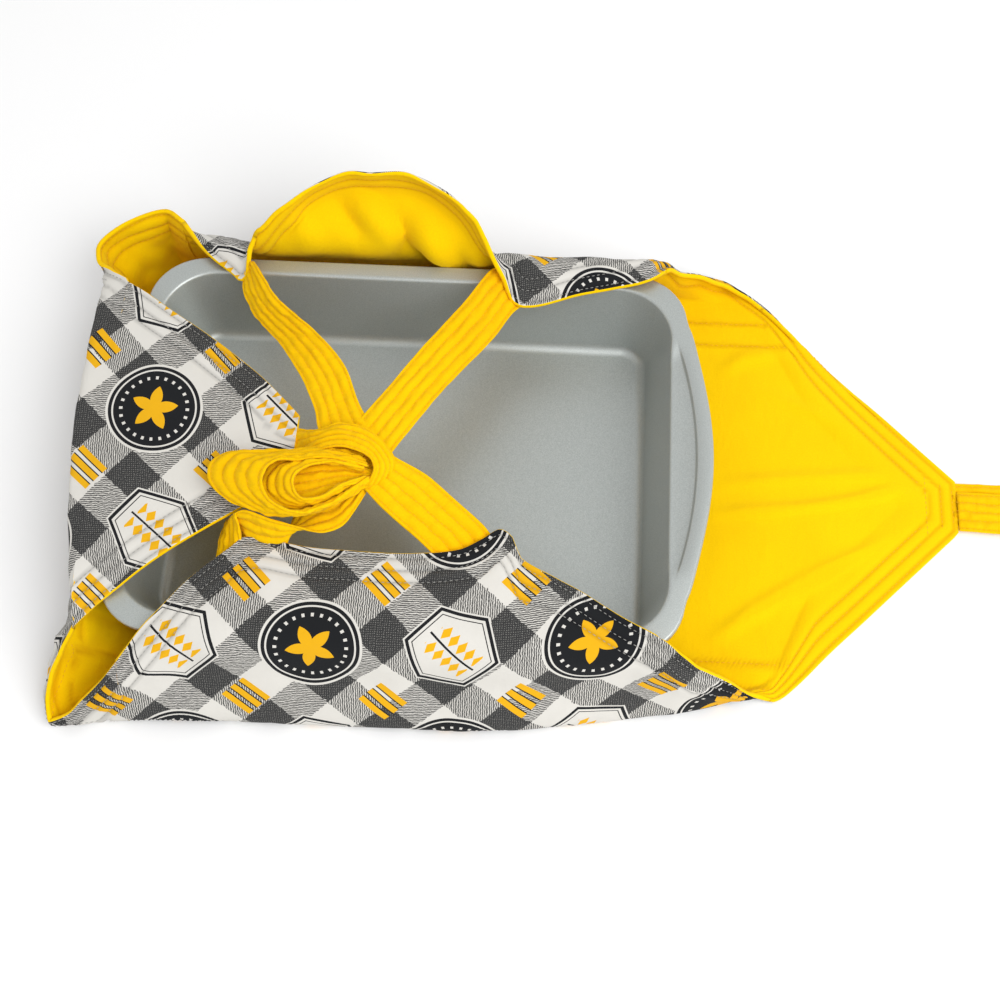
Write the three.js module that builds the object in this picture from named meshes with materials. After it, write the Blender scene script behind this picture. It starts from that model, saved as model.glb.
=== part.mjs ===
// Quilted casserole carrier tied round a baking pan, one end left open.
// Millimetres, +Z up, origin under the middle of the base panel, +X towards the open end.

import * as THREE from "three";

// Baking pan, inside sizes at its top edge
const panLength = 334;
const panWidth = 238;
const panDepth = 56;
const panDraft = 13.5;
const panCorner = 30;
const mouthCorner = 36;
const panSheet = 1;
const panFlange = 12;
const gripReach = 16;
const gripDrop = 3;
const gripSweep = 2.2;
const cornerDraw = -0.35;
const panLip = 4;

// Quilted cloth: printed outer, batting and plain lining
const outerPly = 0.6;
const battingPly = 2.4;
const liningPly = 0.6;
const plyGap = 0.3;

// The cloth is a square set cornerwise; this is half its diagonal
const clothReach = 370;
const strapWidth = 36;
const strapThick = 3;
const tieLength = 168;

// How the cloth sits round the pan
const seat = 0.3;
const slack = 4.5;
const toeReach = 33;
const flapInset = 61;
const handleEdge = 176;
const handleShift = -10;
const archRise = 38;
const archLean = 40;
const leftTip = 125;

// Knot over the middle of the pan
const knotX = -24;
const knotY = -12;
const knotRadius = 19;
const knotHeight = 12;

// Sizes that follow
const clothThick = outerPly + battingPly + liningPly + 2 * plyGap;
const panUnder = clothThick + seat;
const panFloor = panUnder + panSheet;
const rimTop = panFloor + panDepth;
const rimY = panWidth / 2 + panFlange;
const rimX = panLength / 2 + panFlange + gripReach;
const overZ = rimTop + slack + clothThick;
const wrapY = rimY + 1.2 + clothThick;
const creaseY = panWidth / 2 - panDraft + panSheet + 15;
const creaseX = panLength / 2 - panDraft + panSheet + 5.5;
const foldX = creaseX + 2;
const tipFold = foldX + Math.hypot(rimX + 6 - foldX, rimTop);
const tipX = clothReach - strapWidth / 2;
const edgeLeft = handleShift - handleEdge / 2;
const edgeRight = handleShift + handleEdge / 2;
const knotZ = overZ + 7;

// Colours
const printed = new THREE.MeshStandardMaterial({ color: 0x8f8f8c, roughness: 0.9 });
const wadding = new THREE.MeshStandardMaterial({ color: 0xf2efe6, roughness: 1 });
const lining = new THREE.MeshStandardMaterial({ color: 0xf2bd0c, roughness: 0.85 });
const strapping = new THREE.MeshStandardMaterial({ color: 0xf0b70a, roughness: 0.85 });
const metal = new THREE.MeshStandardMaterial({ color: 0x9aa2a3, roughness: 0.4, metalness: 0.8 });

const part = new THREE.Group();
part.name = "casserole_carrier";

function v3(x, y, z) {
  return new THREE.Vector3(x, y, z);
}

// Turns a list of points and faces into a closed solid that faces outwards
function solid(name, points, faces, material) {
  let volume = 0;
  for (const [a, b, c] of faces) {
    volume += points[a].dot(points[b].clone().cross(points[c]));
  }
  const order = volume < 0 ? [0, 2, 1] : [0, 1, 2];
  const geometry = new THREE.BufferGeometry();
  geometry.setAttribute("position", new THREE.Float32BufferAttribute(points.flatMap((p) => p.toArray()), 3));
  geometry.setIndex(faces.flatMap((f) => order.map((k) => f[k])));
  geometry.computeVertexNormals();
  const mesh = new THREE.Mesh(geometry, material);
  mesh.name = name;
  part.add(mesh);
}

// Faces between two grids of points, front and back, closed round the border
function gridFaces(columns, rows) {
  const at = (layer, i, j) => layer * columns * rows + i * rows + j;
  const faces = [];
  for (let i = 0; i + 1 < columns; i++) {
    for (let j = 0; j + 1 < rows; j++) {
      faces.push([at(0, i, j), at(0, i + 1, j), at(0, i + 1, j + 1)]);
      faces.push([at(0, i, j), at(0, i + 1, j + 1), at(0, i, j + 1)]);
      faces.push([at(1, i, j), at(1, i + 1, j + 1), at(1, i + 1, j)]);
      faces.push([at(1, i, j), at(1, i, j + 1), at(1, i + 1, j + 1)]);
    }
  }
  const border = [];
  for (let i = 0; i + 1 < columns; i++) border.push([i, 0]);
  for (let j = 0; j + 1 < rows; j++) border.push([columns - 1, j]);
  for (let i = columns - 1; i > 0; i--) border.push([i, rows - 1]);
  for (let j = rows - 1; j > 0; j--) border.push([0, j]);
  border.forEach(([i, j], k) => {
    const [m, n] = border[(k + 1) % border.length];
    faces.push([at(0, i, j), at(1, i, j), at(1, m, n)]);
    faces.push([at(0, i, j), at(1, m, n), at(0, m, n)]);
  });
  return faces;
}

// A grid of points over a cloth panel: each section is a smooth line from the base to the free edge
function spread(sections, rows, steps) {
  const lines = sections.map((points) => {
    const line = new THREE.CatmullRomCurve3(points, false, "centripetal");
    return Array.from({ length: rows + 1 }, (_, j) => line.getPoint(j / rows));
  });
  const rails = lines[0].map((_, j) => {
    const rail = new THREE.CatmullRomCurve3(lines.map((line) => line[j]), false, "centripetal");
    return rail.getPoints(steps * (lines.length - 1));
  });
  return rails[0].map((_, i) => rails.map((rail) => rail[i]));
}

// Directions across the cloth, towards the lining
function inward(grid, side) {
  return grid.map((column, i) =>
    column.map((_, j) => {
      const before = grid[Math.max(i - 1, 0)][j];
      const after = grid[Math.min(i + 1, grid.length - 1)][j];
      const below = column[Math.max(j - 1, 0)];
      const above = column[Math.min(j + 1, column.length - 1)];
      const along = after.clone().sub(before);
      const up = above.clone().sub(below);
      return along.cross(up).multiplyScalar(side).normalize();
    }),
  );
}

// Three plies of quilted cloth, the printed one at the back of the grid's surface
function quilt(name, grid, side) {
  const across = inward(grid, side);
  const faces = gridFaces(grid.length, grid[0].length);
  let from = 0;
  for (const [ply, thick, material] of [
    ["outer", outerPly, printed],
    ["batting", battingPly, wadding],
    ["lining", liningPly, lining],
  ]) {
    const points = [from, from + thick].flatMap((depth) =>
      grid.flatMap((column, i) => column.map((p, j) => p.clone().addScaledVector(across[i][j], depth))),
    );
    solid(`${name}_${ply}`, points, faces, material);
    from += thick + plyGap;
  }
}

// Flat quilted panel lying on the floor, from its outline
function flatQuilt(name, outline) {
  let from = 0;
  for (const [ply, thick, material] of [
    ["outer", outerPly, printed],
    ["batting", battingPly, wadding],
    ["lining", liningPly, lining],
  ]) {
    const shape = new THREE.Shape(outline.map(([x, y]) => new THREE.Vector2(x, y)));
    const geometry = new THREE.ExtrudeGeometry(shape, { depth: thick, bevelEnabled: false });
    geometry.translate(0, 0, from);
    const mesh = new THREE.Mesh(geometry, material);
    mesh.name = `${name}_${ply}`;
    part.add(mesh);
    from += thick + plyGap;
  }
}

// Flat strap along a line of stations: middle, direction across and width
function strap(name, stations, steps) {
  const middle = new THREE.CatmullRomCurve3(stations.map((s) => s.at), false, "centripetal");
  const edge = new THREE.CatmullRomCurve3(
    stations.map((s) => s.across.clone().normalize().multiplyScalar((s.width ?? strapWidth) / 2)),
    false,
    "centripetal",
  );
  const count = steps * (stations.length - 1);
  const low = [];
  const high = [];
  for (let i = 0; i <= count; i++) {
    const t = i / count;
    const at = middle.getPoint(t);
    const half = edge.getPoint(t);
    const face = middle.getTangent(t).cross(half).normalize().multiplyScalar(strapThick / 2);
    low.push([at.clone().sub(half).sub(face), at.clone().add(half).sub(face)]);
    high.push([at.clone().sub(half).add(face), at.clone().add(half).add(face)]);
  }
  solid(name, [...low, ...high].flat(), gridFaces(count + 1, 2), strapping);
}

// Base panel under the pan
flatQuilt("base", [
  [-creaseX + seat, -creaseY + seat],
  [foldX - seat / 2, -creaseY + seat],
  [foldX - seat / 2, creaseY - seat],
  [-creaseX + seat, creaseY - seat],
]);

// Front and back flaps rise from the floor, lean in to the rim and turn over it
function flapLine(x, side, crease, toe, ridge, edge) {
  const rise = [toe[0] + (ridge[0] - toe[0]) * 0.5, toe[1] + (ridge[1] - toe[1]) * 0.52];
  const heel = crease + (toe[0] - crease) * 0.75;
  return [[crease, 0], [heel, 0], toe, rise, ridge, edge].map(([y, z]) => v3(x, side * y, z));
}

const toe = wrapY + toeReach;
const lean = overZ - 1.7;
const tuck = rimY + 3;
const earSlope = 1.21;
const flapEdge = rimY - flapInset;
quilt(
  "front_flap",
  spread(
    [
      flapLine(-rimX - 3, -1, creaseY + earSlope * (rimX + 3 - creaseX), [toe + 7, 4], [toe + 9, 14], [toe + 7.5, 26]),
      flapLine(-rimX + 9, -1, creaseY + earSlope * (rimX - 9 - creaseX), [toe + 6, 5], [toe + 5, 24], [toe - 2, 39]),
      flapLine(-rimX + 22, -1, creaseY + earSlope * (rimX - 22 - creaseX), [toe + 4, 6], [toe - 3, 35], [wrapY + 15, 53]),
      flapLine(-rimX + 36, -1, creaseY, [toe + 3, 6.5], [wrapY + 17, overZ - 17], [wrapY + 3, overZ - 4.5]),
      flapLine(-rimX + 55, -1, creaseY, [toe + 2, 7], [tuck + 5, overZ - 3.5], [rimY - 11, overZ + 0.5]),
      flapLine(edgeLeft - 18, -1, creaseY, [toe + 1, 7], [tuck, lean], [flapEdge + 21, overZ]),
      flapLine(edgeLeft, -1, creaseY, [toe, 7], [tuck, lean], [flapEdge, overZ]),
      flapLine(handleShift - 40, -1, creaseY, [toe, 7], [tuck, lean], [flapEdge + 5.5, overZ]),
      flapLine(handleShift, -1, creaseY, [toe - 1, 7], [tuck, lean], [flapEdge + 7, overZ]),
      flapLine(handleShift + 50, -1, creaseY, [toe - 1, 7], [tuck, lean], [flapEdge + 4, overZ]),
      flapLine(edgeRight, -1, creaseY, [toe - 4, 7], [tuck, lean], [flapEdge, overZ]),
      flapLine(edgeRight + 26, -1, creaseY, [toe - 8, 6.5], [tuck, lean], [flapEdge + 18, overZ - 0.5]),
      flapLine(foldX - 24, -1, creaseY, [toe - 13, 6], [tuck + 0.5, overZ - 2.5], [flapEdge + 42, overZ - 1.5]),
      flapLine(foldX - 9, -1, creaseY, [toe - 16, 6], [tuck + 5.5, overZ - 8], [rimY + 0.5, overZ - 2]),
      flapLine(foldX + 2, -1, creaseY, [toe - 18, 5], [rimY + 11, overZ - 28], [rimY + 7.5, overZ - 14]),
      flapLine(foldX + 20, -1, creaseY, [toe - 21.5, 4], [rimY + 12, 25], [rimY + 8.5, 39]),
      flapLine(foldX + 44, -1, creaseY, [toe - 26, 2], [rimY + 11.5, 10], [rimY + 9, 17]),
      flapLine(foldX + 69, -1, creaseY, [rimY + 1, 0], [rimY + 4.5, 0.2], [rimY + 7, 0.6]),
    ],
    10,
    1,
  ),
  -1,
);

const backToe = wrapY + toeReach - 10;
const archMid = edgeLeft + 0.46 * handleEdge;
quilt(
  "back_flap",
  spread(
    [
      flapLine(-rimX + 20, 1, creaseY + 30, [backToe + 4, 5], [backToe + 6, 42], [backToe + 7, overZ - 11]),
      flapLine(-rimX + 37, 1, creaseY + 4, [backToe + 2, 6], [wrapY + 15, overZ - 13], [rimY + 25, overZ - 3]),
      flapLine(-rimX + 58, 1, creaseY, [backToe, 7], [wrapY + 9, overZ - 6], [rimY + 2, overZ + 1.5]),
      flapLine(edgeLeft - 24, 1, creaseY, [backToe, 7], [tuck + 5, overZ], [rimY - 21, overZ + 1]),
      flapLine(edgeLeft - 16, 1, creaseY, [backToe, 7], [tuck + 4, overZ], [rimY - 29, overZ]),
      flapLine(edgeLeft - 8, 1, creaseY, [backToe, 7], [tuck + 4, overZ - 1], [rimY - 13, overZ + 3]),
      flapLine(edgeLeft + 4, 1, creaseY, [backToe, 7], [tuck + 5, overZ - 2], [rimY + 15, overZ + archRise * 0.38]),
      flapLine(edgeLeft + 24, 1, creaseY, [backToe, 7], [tuck + 7, overZ - 1], [rimY + archLean * 0.8, overZ + archRise * 0.72]),
      flapLine(archMid - 17, 1, creaseY, [backToe, 7], [tuck + 8, overZ + 1], [rimY + archLean, overZ + archRise]),
      flapLine(archMid + 21, 1, creaseY, [backToe, 7], [tuck + 8, overZ + 1], [rimY + archLean * 0.88, overZ + archRise * 0.9]),
      flapLine(edgeRight - 44, 1, creaseY, [backToe - 1, 7], [tuck + 6, overZ - 1], [rimY + archLean * 0.4, overZ + archRise * 0.58]),
      flapLine(edgeRight - 27, 1, creaseY, [backToe - 1, 7], [tuck + 5, overZ - 1], [rimY - 9, overZ + archRise * 0.24]),
      flapLine(edgeRight - 18, 1, creaseY, [backToe - 1, 7], [tuck + 4, overZ - 1], [rimY - 29, overZ + 1]),
      flapLine(edgeRight - 10, 1, creaseY, [backToe - 2, 7], [tuck + 4, overZ - 1], [rimY - 32, overZ]),
      flapLine(edgeRight + 26, 1, creaseY, [backToe - 3, 7], [tuck + 4, overZ - 1], [rimY - 22, overZ - 0.5]),
      flapLine(foldX - 32, 1, creaseY, [backToe - 4, 6], [tuck + 3, overZ - 2], [rimY - 15, overZ - 1]),
      flapLine(foldX - 9, 1, creaseY, [backToe - 6, 6], [tuck + 6.5, overZ - 7], [rimY + 0.5, overZ - 2]),
      flapLine(foldX + 2, 1, creaseY, [backToe - 8, 5], [rimY + 11, overZ - 26], [rimY + 7.5, overZ - 14]),
      flapLine(foldX + 20, 1, creaseY, [backToe - 11, 4], [rimY + 12, 25], [rimY + 8.5, 39]),
      flapLine(foldX + 44, 1, creaseY, [backToe - 16, 2], [rimY + 11.5, 10], [rimY + 9, 17]),
      flapLine(foldX + 69, 1, creaseY, [rimY + 1, 0], [rimY + 5, 0.5], [rimY + 8, 1.5]),
    ],
    10,
    1,
  ),
  1,
);

// Left wall leans out from the crease to the rim's end and turns over it, as far as the flap's fold line
function wallLine(y, crease, ridge, end) {
  const low = [crease + (ridge[0] - crease) * 0.3, ridge[1] * 0.2];
  const middle = [crease + (ridge[0] - crease) * 0.72, ridge[1] * 0.58];
  return [[crease, 0], low, middle, ridge, end].map(([x, z]) => v3(-x, y, z));
}

const splitX = rimX - 5;
const wallFoot = creaseX + 3.9;
const earFoot = (y) => creaseX + 6.5 + (y - creaseY) / earSlope;
quilt(
  "left_wall",
  spread(
    [
      wallLine(-toe + 1, earFoot(toe - 1), [rimX + 11.5, 20], [rimX + 12, 30]),
      wallLine(-creaseY - 29, earFoot(creaseY + 29), [rimX + 9.5, 34], [rimX + 6.5, 46]),
      wallLine(-creaseY - 17, earFoot(creaseY + 17), [rimX + 8.5, 48], [rimX - 1, overZ - 12]),
      wallLine(-creaseY - 8, earFoot(creaseY + 8), [rimX + 7, 58], [splitX, overZ - 4.5]),
      wallLine(-creaseY + 10, wallFoot, [rimX + 6.5, overZ - 5], [splitX, overZ - 0.6]),
      wallLine(-creaseY + 42, wallFoot, [rimX + 8, overZ - 3], [splitX, overZ]),
      wallLine(-30, wallFoot, [rimX + 9.5, overZ - 2.5], [splitX, overZ]),
      wallLine(40, wallFoot, [rimX + 10.5, overZ - 2.5], [splitX, overZ]),
      wallLine(creaseY - 36, wallFoot, [rimX + 11, overZ - 3], [splitX, overZ]),
      wallLine(creaseY - 17, wallFoot, [rimX + 12.5, overZ - 6], [splitX + 0.5, overZ - 0.3]),
      wallLine(creaseY - 8, wallFoot + 2, [rimX + 14.5, overZ - 11], [rimX + 6, overZ - 4]),
      wallLine(creaseY + 2, rimX - 1, [rimX + 16, overZ - 23], [rimX + 18.5, overZ - 10]),
    ],
    7,
    1,
  ),
  1,
);

// Ear of loose cloth standing at the back left corner
quilt(
  "back_left_ear",
  spread(
    [
      [v3(-rimX - 1, creaseY + 9, 0), v3(-rimX - 12, creaseY + 9.5, 30), v3(-rimX - 19, creaseY + 10, overZ - 11)],
      [v3(-rimX + 10, creaseY + 18, 0), v3(-rimX, creaseY + 25, 30), v3(-rimX - 4, creaseY + 29, overZ - 7)],
      [v3(-rimX + 16, creaseY + 32.5, 0), v3(-rimX + 15.5, creaseY + 37, 30), v3(-rimX + 15, creaseY + 44, overZ - 10)],
    ],
    4,
    2,
  ),
  1,
);

// Left flap folded in over the pan, as far as the knot
function leftLine(x, front, back, z) {
  return [front, front / 2 + back / 2, back].map((y, k) => v3(x, y, z + (k === 1 ? 0.8 : 0)));
}

const tipEnd = -rimX + leftTip;
quilt(
  "left_flap",
  spread(
    [
      leftLine(-splitX + 4 * seat, -creaseY - 9, creaseY - 16, overZ),
      leftLine(-rimX + 21, -creaseY + 14, creaseY - 23, overZ + 0.5),
      leftLine(-rimX + 47, -creaseY + 41, creaseY - 44, overZ + 0.9),
      leftLine(-rimX + 77, -creaseY + 66, creaseY - 68, overZ + 1.2),
      leftLine(-rimX + 100, -creaseY + 83.5, creaseY - 88, overZ + 1.5),
      leftLine(tipEnd, knotY - strapWidth / 2 + 5, knotY + strapWidth / 2 + 4, overZ + 1.8),
    ],
    6,
    1,
  ),
  -1,
);

// Right flap lying open on the floor, in two pieces that fold at the pan's foot and at the rim
flatQuilt("right_wall", [
  [foldX + seat / 2, -creaseY + seat],
  [tipFold - seat / 2, -creaseY + seat],
  [tipFold - seat / 2, creaseY - seat],
  [foldX + seat / 2, creaseY - seat],
]);
const tipHalf = clothReach - tipFold;
flatQuilt("right_tip", [
  [tipFold + seat / 2, -tipHalf],
  [tipX, -strapWidth / 2],
  [tipX, strapWidth / 2],
  [tipFold + seat / 2, tipHalf],
]);

// Tie at the right tip: one strap doubled back on itself as a loop
const tieLow = strapThick / 2 + 0.1;
const tieHigh = tieLow + strapThick + seat;
const tieTurn = (tieLow + tieHigh) / 2;
const tieEnd = tipX + tieLength;
const tieAcross = v3(0, 1, 0);
strap(
  "right_tie",
  [
    { at: v3(tipX + seat, 0, tieLow), across: tieAcross },
    { at: v3(tipX + tieLength * 0.5, 1, tieLow), across: tieAcross },
    { at: v3(tieEnd - 8, 0, tieLow), across: tieAcross },
    { at: v3(tieEnd - 0.6, -1, tieLow + 0.25), across: tieAcross },
    { at: v3(tieEnd + 1.05, -2, tieTurn), across: tieAcross },
    { at: v3(tieEnd - 0.6, -3, tieHigh - 0.25), across: tieAcross },
    { at: v3(tieEnd - 8, -4, tieHigh), across: tieAcross },
    { at: v3(tipX + tieLength * 0.5, -6, tieHigh), across: tieAcross },
    { at: v3(tipX + seat + 1, -6, tieHigh), across: tieAcross },
  ],
  3,
);

// Heart of the knot, where the four strap ends cross
const heartLine = [
  [0, -knotHeight / 2],
  [knotRadius - 4, -knotHeight / 2],
  [knotRadius - 1, -knotHeight / 2 + 2.5],
  [knotRadius, 0],
  [knotRadius - 1, knotHeight / 2 - 2.5],
  [knotRadius - 4, knotHeight / 2],
  [0, knotHeight / 2],
];
const heart = new THREE.LatheGeometry(heartLine.map(([r, z]) => new THREE.Vector2(r, z)), 24);
heart.rotateX(Math.PI / 2);
heart.translate(knotX, knotY, knotZ);
const heartMesh = new THREE.Mesh(heart, strapping);
heartMesh.name = "knot_heart";
part.add(heartMesh);

// Strap legs from the front and back flaps to the knot
function leg(name, root, rootAcross, way) {
  const from = v3(knotX, knotY, knotZ);
  const away = (way[0] ?? root).clone().sub(from);
  away.z = 0;
  away.normalize();
  const end = from.clone().addScaledVector(away, knotRadius + 0.5);
  const cross = v3(-away.y, away.x, 0);
  if (cross.dot(rootAcross) < 0) cross.negate();
  const stations = [{ at: end, across: cross, width: strapWidth * 0.62 }];
  way.forEach((at, k) => {
    const share = (k + 1) / (way.length + 1);
    stations.push({ at, across: cross.clone().lerp(rootAcross, share), width: strapWidth * 0.94 });
  });
  stations.push({ at: root, across: rootAcross });
  strap(name, stations, 4);
}

leg("back_left_strap", v3(edgeLeft - 14, rimY - 28.5, overZ), v3(0.84, 0.48, 0.25), [
  v3(edgeLeft + 22, rimY - 78, overZ + 3),
]);
leg("back_right_strap", v3(edgeRight - 22, rimY - 26.8, overZ - 0.5), v3(0.63, -0.77, -0.1), [
  v3(edgeRight - 58, rimY - 86, overZ + 3),
]);
leg("front_right_strap", v3(edgeRight - 20, -flapEdge - 0.9, overZ - 2), v3(1, 0.08, 0), [
  v3(edgeRight - 46, -flapEdge + 24, overZ + 3),
]);
leg("front_left_strap", v3(edgeLeft + 12, -flapEdge + 0.7, overZ - 2), v3(-0.9, -0.1, -0.3), [
  v3(knotX - 14, knotY - 42, overZ + 0.5),
  v3(edgeLeft + 36, -flapEdge + 12.5, overZ - 1),
]);

// Tie from the left flap's tip, carried over the knot
const wrapZ = knotZ + knotHeight / 2 + strapThick / 2 + 2;
strap(
  "left_tie_wrap",
  [
    { at: v3(tipEnd + 1.6, knotY + 4, overZ + 0.4), across: v3(0, 1, 0), width: 30 },
    { at: v3(tipEnd + 12, knotY + 9, wrapZ - 5), across: v3(0, 1, 0.2), width: 30 },
    { at: v3(knotX - 12, knotY + 14, wrapZ + 0.2), across: v3(0.1, 1, 0.1), width: 28 },
    { at: v3(knotX + 10, knotY + 10, wrapZ + 0.2), across: v3(0.5, 0.9, 0.05), width: 28 },
    { at: v3(knotX + 20, knotY + 1, wrapZ - 1.2), across: v3(0.9, 0.5, -0.15), width: 26 },
  ],
  4,
);

// Spare end of the tie, gathered into two loops that stand to the left of the knot
const loopZ = wrapZ + 2.6;
strap(
  "tie_loop_outer",
  [
    { at: v3(knotX - 1, knotY - 12, loopZ + 0.6), across: v3(0, 0.5, -0.87), width: 12 },
    { at: v3(knotX - 30, knotY - 13, loopZ + 2), across: v3(0, 0.6, -0.8), width: 18 },
    { at: v3(knotX - 60, knotY - 13, loopZ + 2), across: v3(-0.3, 0.6, -0.74), width: 26 },
    { at: v3(knotX - 79, knotY - 26, loopZ + 1), across: v3(-0.87, 0, -0.5), width: 36 },
    { at: v3(knotX - 62, knotY - 39, loopZ + 1), across: v3(-0.3, -0.5, -0.81), width: 28 },
    { at: v3(knotX - 30, knotY - 41, loopZ + 1), across: v3(0, -0.4, -0.92), width: 20 },
    { at: v3(knotX - 1, knotY - 35, loopZ + 1), across: v3(0, -0.3, -0.95), width: 14 },
  ],
  4,
);
strap(
  "tie_loop_inner",
  [
    { at: v3(knotX - 1, knotY - 20, loopZ - 2.1), across: v3(0, 0.1, -1), width: 12 },
    { at: v3(knotX - 22, knotY - 22.5, loopZ + 5), across: v3(0, 0.2, -1), width: 18 },
    { at: v3(knotX - 42, knotY - 24, loopZ + 8), across: v3(-0.4, 0.1, -0.9), width: 24 },
    { at: v3(knotX - 49, knotY - 28, loopZ + 8), across: v3(-0.6, 0, -0.8), width: 26 },
    { at: v3(knotX - 42, knotY - 32, loopZ + 8), across: v3(-0.4, -0.1, -0.9), width: 24 },
    { at: v3(knotX - 22, knotY - 31, loopZ + 5), across: v3(0, -0.2, -1), width: 18 },
    { at: v3(knotX - 1, knotY - 26, loopZ - 2), across: v3(0, -0.1, -1), width: 12 },
  ],
  4,
);

// Baking pan: rings from the middle of its floor, over the rim and back under.
// The rim swells into a crescent grip at each end, and its outer rings draw in at the corners.
function ring(halfX, halfY, radius, z, bulge, least = 0) {
  const points = [];
  const arc = 5;
  const sides = 8;
  const corner = (cx, cy, from) => {
    for (let k = 0; k <= arc; k++) {
      const turn = from + (k / arc) * (Math.PI / 2);
      points.push(v3(cx + radius * Math.cos(turn), cy + radius * Math.sin(turn), z));
    }
  };
  const end = (x, from, to) => {
    for (let k = 1; k < sides; k++) points.push(v3(x, from + ((to - from) * k) / sides, z));
  };
  corner(halfX - radius, halfY - radius, 0);
  corner(-halfX + radius, halfY - radius, Math.PI / 2);
  end(-halfX, halfY - radius, -halfY + radius);
  corner(-halfX + radius, -halfY + radius, Math.PI);
  corner(halfX - radius, -halfY + radius, Math.PI * 1.5);
  end(halfX, -halfY + radius, halfY - radius);
  for (const p of points) p.x += Math.sign(p.x) * bulge * Math.max(least, 1 - gripSweep * (p.y / halfY) ** 2);
  return points;
}

const topX = panLength / 2;
const topY = panWidth / 2;
const lowX = topX - panDraft;
const lowY = topY - panDraft;
const outX = topX + panFlange;
const outY = topY + panFlange;
const shelf = rimTop - gripDrop;
const cornerOut = mouthCorner + panFlange;
const rings = [
  ring(lowX - 7, lowY - 7, panCorner - 13, panFloor, 0),
  ring(lowX - 2, lowY - 2, panCorner - 9, panFloor + 2, 0),
  ring(lowX, lowY, panCorner - 7, panFloor + 7, 0),
  ring(topX, topY, mouthCorner, shelf, 0),
  ring(topX + 0.8, topY + 0.8, mouthCorner + 0.8, shelf, gripReach),
  ring(topX + 1.4, topY + 1.4, mouthCorner + 1.4, rimTop, gripReach),
  ring(outX, outY, cornerOut, rimTop, gripReach, cornerDraw),
  ring(outX, outY, cornerOut, rimTop - panLip, gripReach, cornerDraw),
  ring(outX - panSheet, outY - panSheet, cornerOut - panSheet, rimTop - panLip, gripReach, cornerDraw),
  ring(outX - panSheet, outY - panSheet, cornerOut - panSheet, rimTop - panSheet, gripReach, cornerDraw),
  ring(topX + 2.8, topY + 2.8, mouthCorner + 2.8, rimTop - panSheet, gripReach),
  ring(topX + 2, topY + 2, mouthCorner + 2, shelf - panSheet, gripReach),
  ring(topX + panSheet, topY + panSheet, mouthCorner + panSheet, shelf - panSheet, 0),
  ring(lowX + panSheet, lowY + panSheet, panCorner - 6, panFloor + 6, 0),
  ring(lowX - 1.4, lowY - 1.4, panCorner - 8.5, panFloor + 1, 0),
  ring(lowX - 7, lowY - 7, panCorner - 13, panUnder, 0),
];
const around = rings[0].length;
const panPoints = [...rings.flat(), v3(0, 0, panFloor), v3(0, 0, panUnder)];
const panFaces = [];
const lastRing = (rings.length - 1) * around;
for (let k = 0; k < around; k++) {
  const next = (k + 1) % around;
  panFaces.push([panPoints.length - 2, k, next]);
  panFaces.push([panPoints.length - 1, lastRing + next, lastRing + k]);
  for (let r = 0; r + 1 < rings.length; r++) {
    const low = r * around;
    const high = low + around;
    panFaces.push([low + k, high + k, high + next]);
    panFaces.push([low + k, high + next, low + next]);
  }
}
solid("pan", panPoints, panFaces, metal);

export default part;
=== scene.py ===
# Quilted casserole carrier, a cloth square tied cornerwise round a baking pan with one end left open
import math

import bpy
import numpy as np
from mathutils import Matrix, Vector, noise


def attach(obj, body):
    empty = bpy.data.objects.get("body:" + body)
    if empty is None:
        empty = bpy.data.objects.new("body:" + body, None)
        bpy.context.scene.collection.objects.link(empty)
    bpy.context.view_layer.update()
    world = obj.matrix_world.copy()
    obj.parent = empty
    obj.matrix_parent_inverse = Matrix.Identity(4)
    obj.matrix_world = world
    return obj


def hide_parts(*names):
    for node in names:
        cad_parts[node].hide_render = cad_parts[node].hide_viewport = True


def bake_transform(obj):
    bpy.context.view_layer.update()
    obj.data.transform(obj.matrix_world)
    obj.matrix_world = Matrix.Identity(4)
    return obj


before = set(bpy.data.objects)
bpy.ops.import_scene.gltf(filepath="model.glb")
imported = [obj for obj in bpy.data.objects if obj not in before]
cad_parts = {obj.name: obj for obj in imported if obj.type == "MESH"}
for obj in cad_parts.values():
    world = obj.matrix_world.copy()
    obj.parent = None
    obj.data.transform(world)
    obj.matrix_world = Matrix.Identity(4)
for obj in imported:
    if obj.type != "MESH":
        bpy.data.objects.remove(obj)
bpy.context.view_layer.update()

# Studio: the camera looks down on the pan from the front, as the picture was taken.
# The floor is a pale sheet, and the light is a bright even room with one wide soft lamp to the right.
camera_place = (0.092988, -0.382206, 0.870387)
camera_turn = (0.4062, 0.01284, 0.05742)
camera_lens = 51.44
sensor_width = 36
lamp_place = (0.85, -0.6, 1.35)
lamp_width = 1.3
lamp_power = 18
room_light = 0.79
floor_half = 6
floor_drop = 0.0004
floor_finish = {"Base Color": (0.93, 0.93, 0.93, 1), "Roughness": 0.9}


def linear(red, green, blue):
    """A colour as it is seen on a screen, 0 to 255, as the renderer's light."""
    shares = [value / 255 for value in (red, green, blue)]
    return [s / 12.92 if s <= 0.04045 else ((s + 0.055) / 1.055) ** 2.4 for s in shares] + [1]


def new_material(name, finish):
    """A material with the inputs of its shader set, its node tree and its shader."""
    material = bpy.data.materials.new(name)
    material.use_nodes = True
    shader = material.node_tree.nodes["Principled BSDF"]
    for key, value in finish.items():
        shader.inputs[key].default_value = value
    return material, material.node_tree, shader


scene = bpy.context.scene
scene.view_settings.view_transform = "Standard"
camera = bpy.data.objects.new("camera", bpy.data.cameras.new("camera"))
camera.location = camera_place
camera.rotation_euler = camera_turn
camera.data.lens = camera_lens
camera.data.sensor_width = sensor_width
scene.collection.objects.link(camera)
scene.camera = camera

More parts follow.
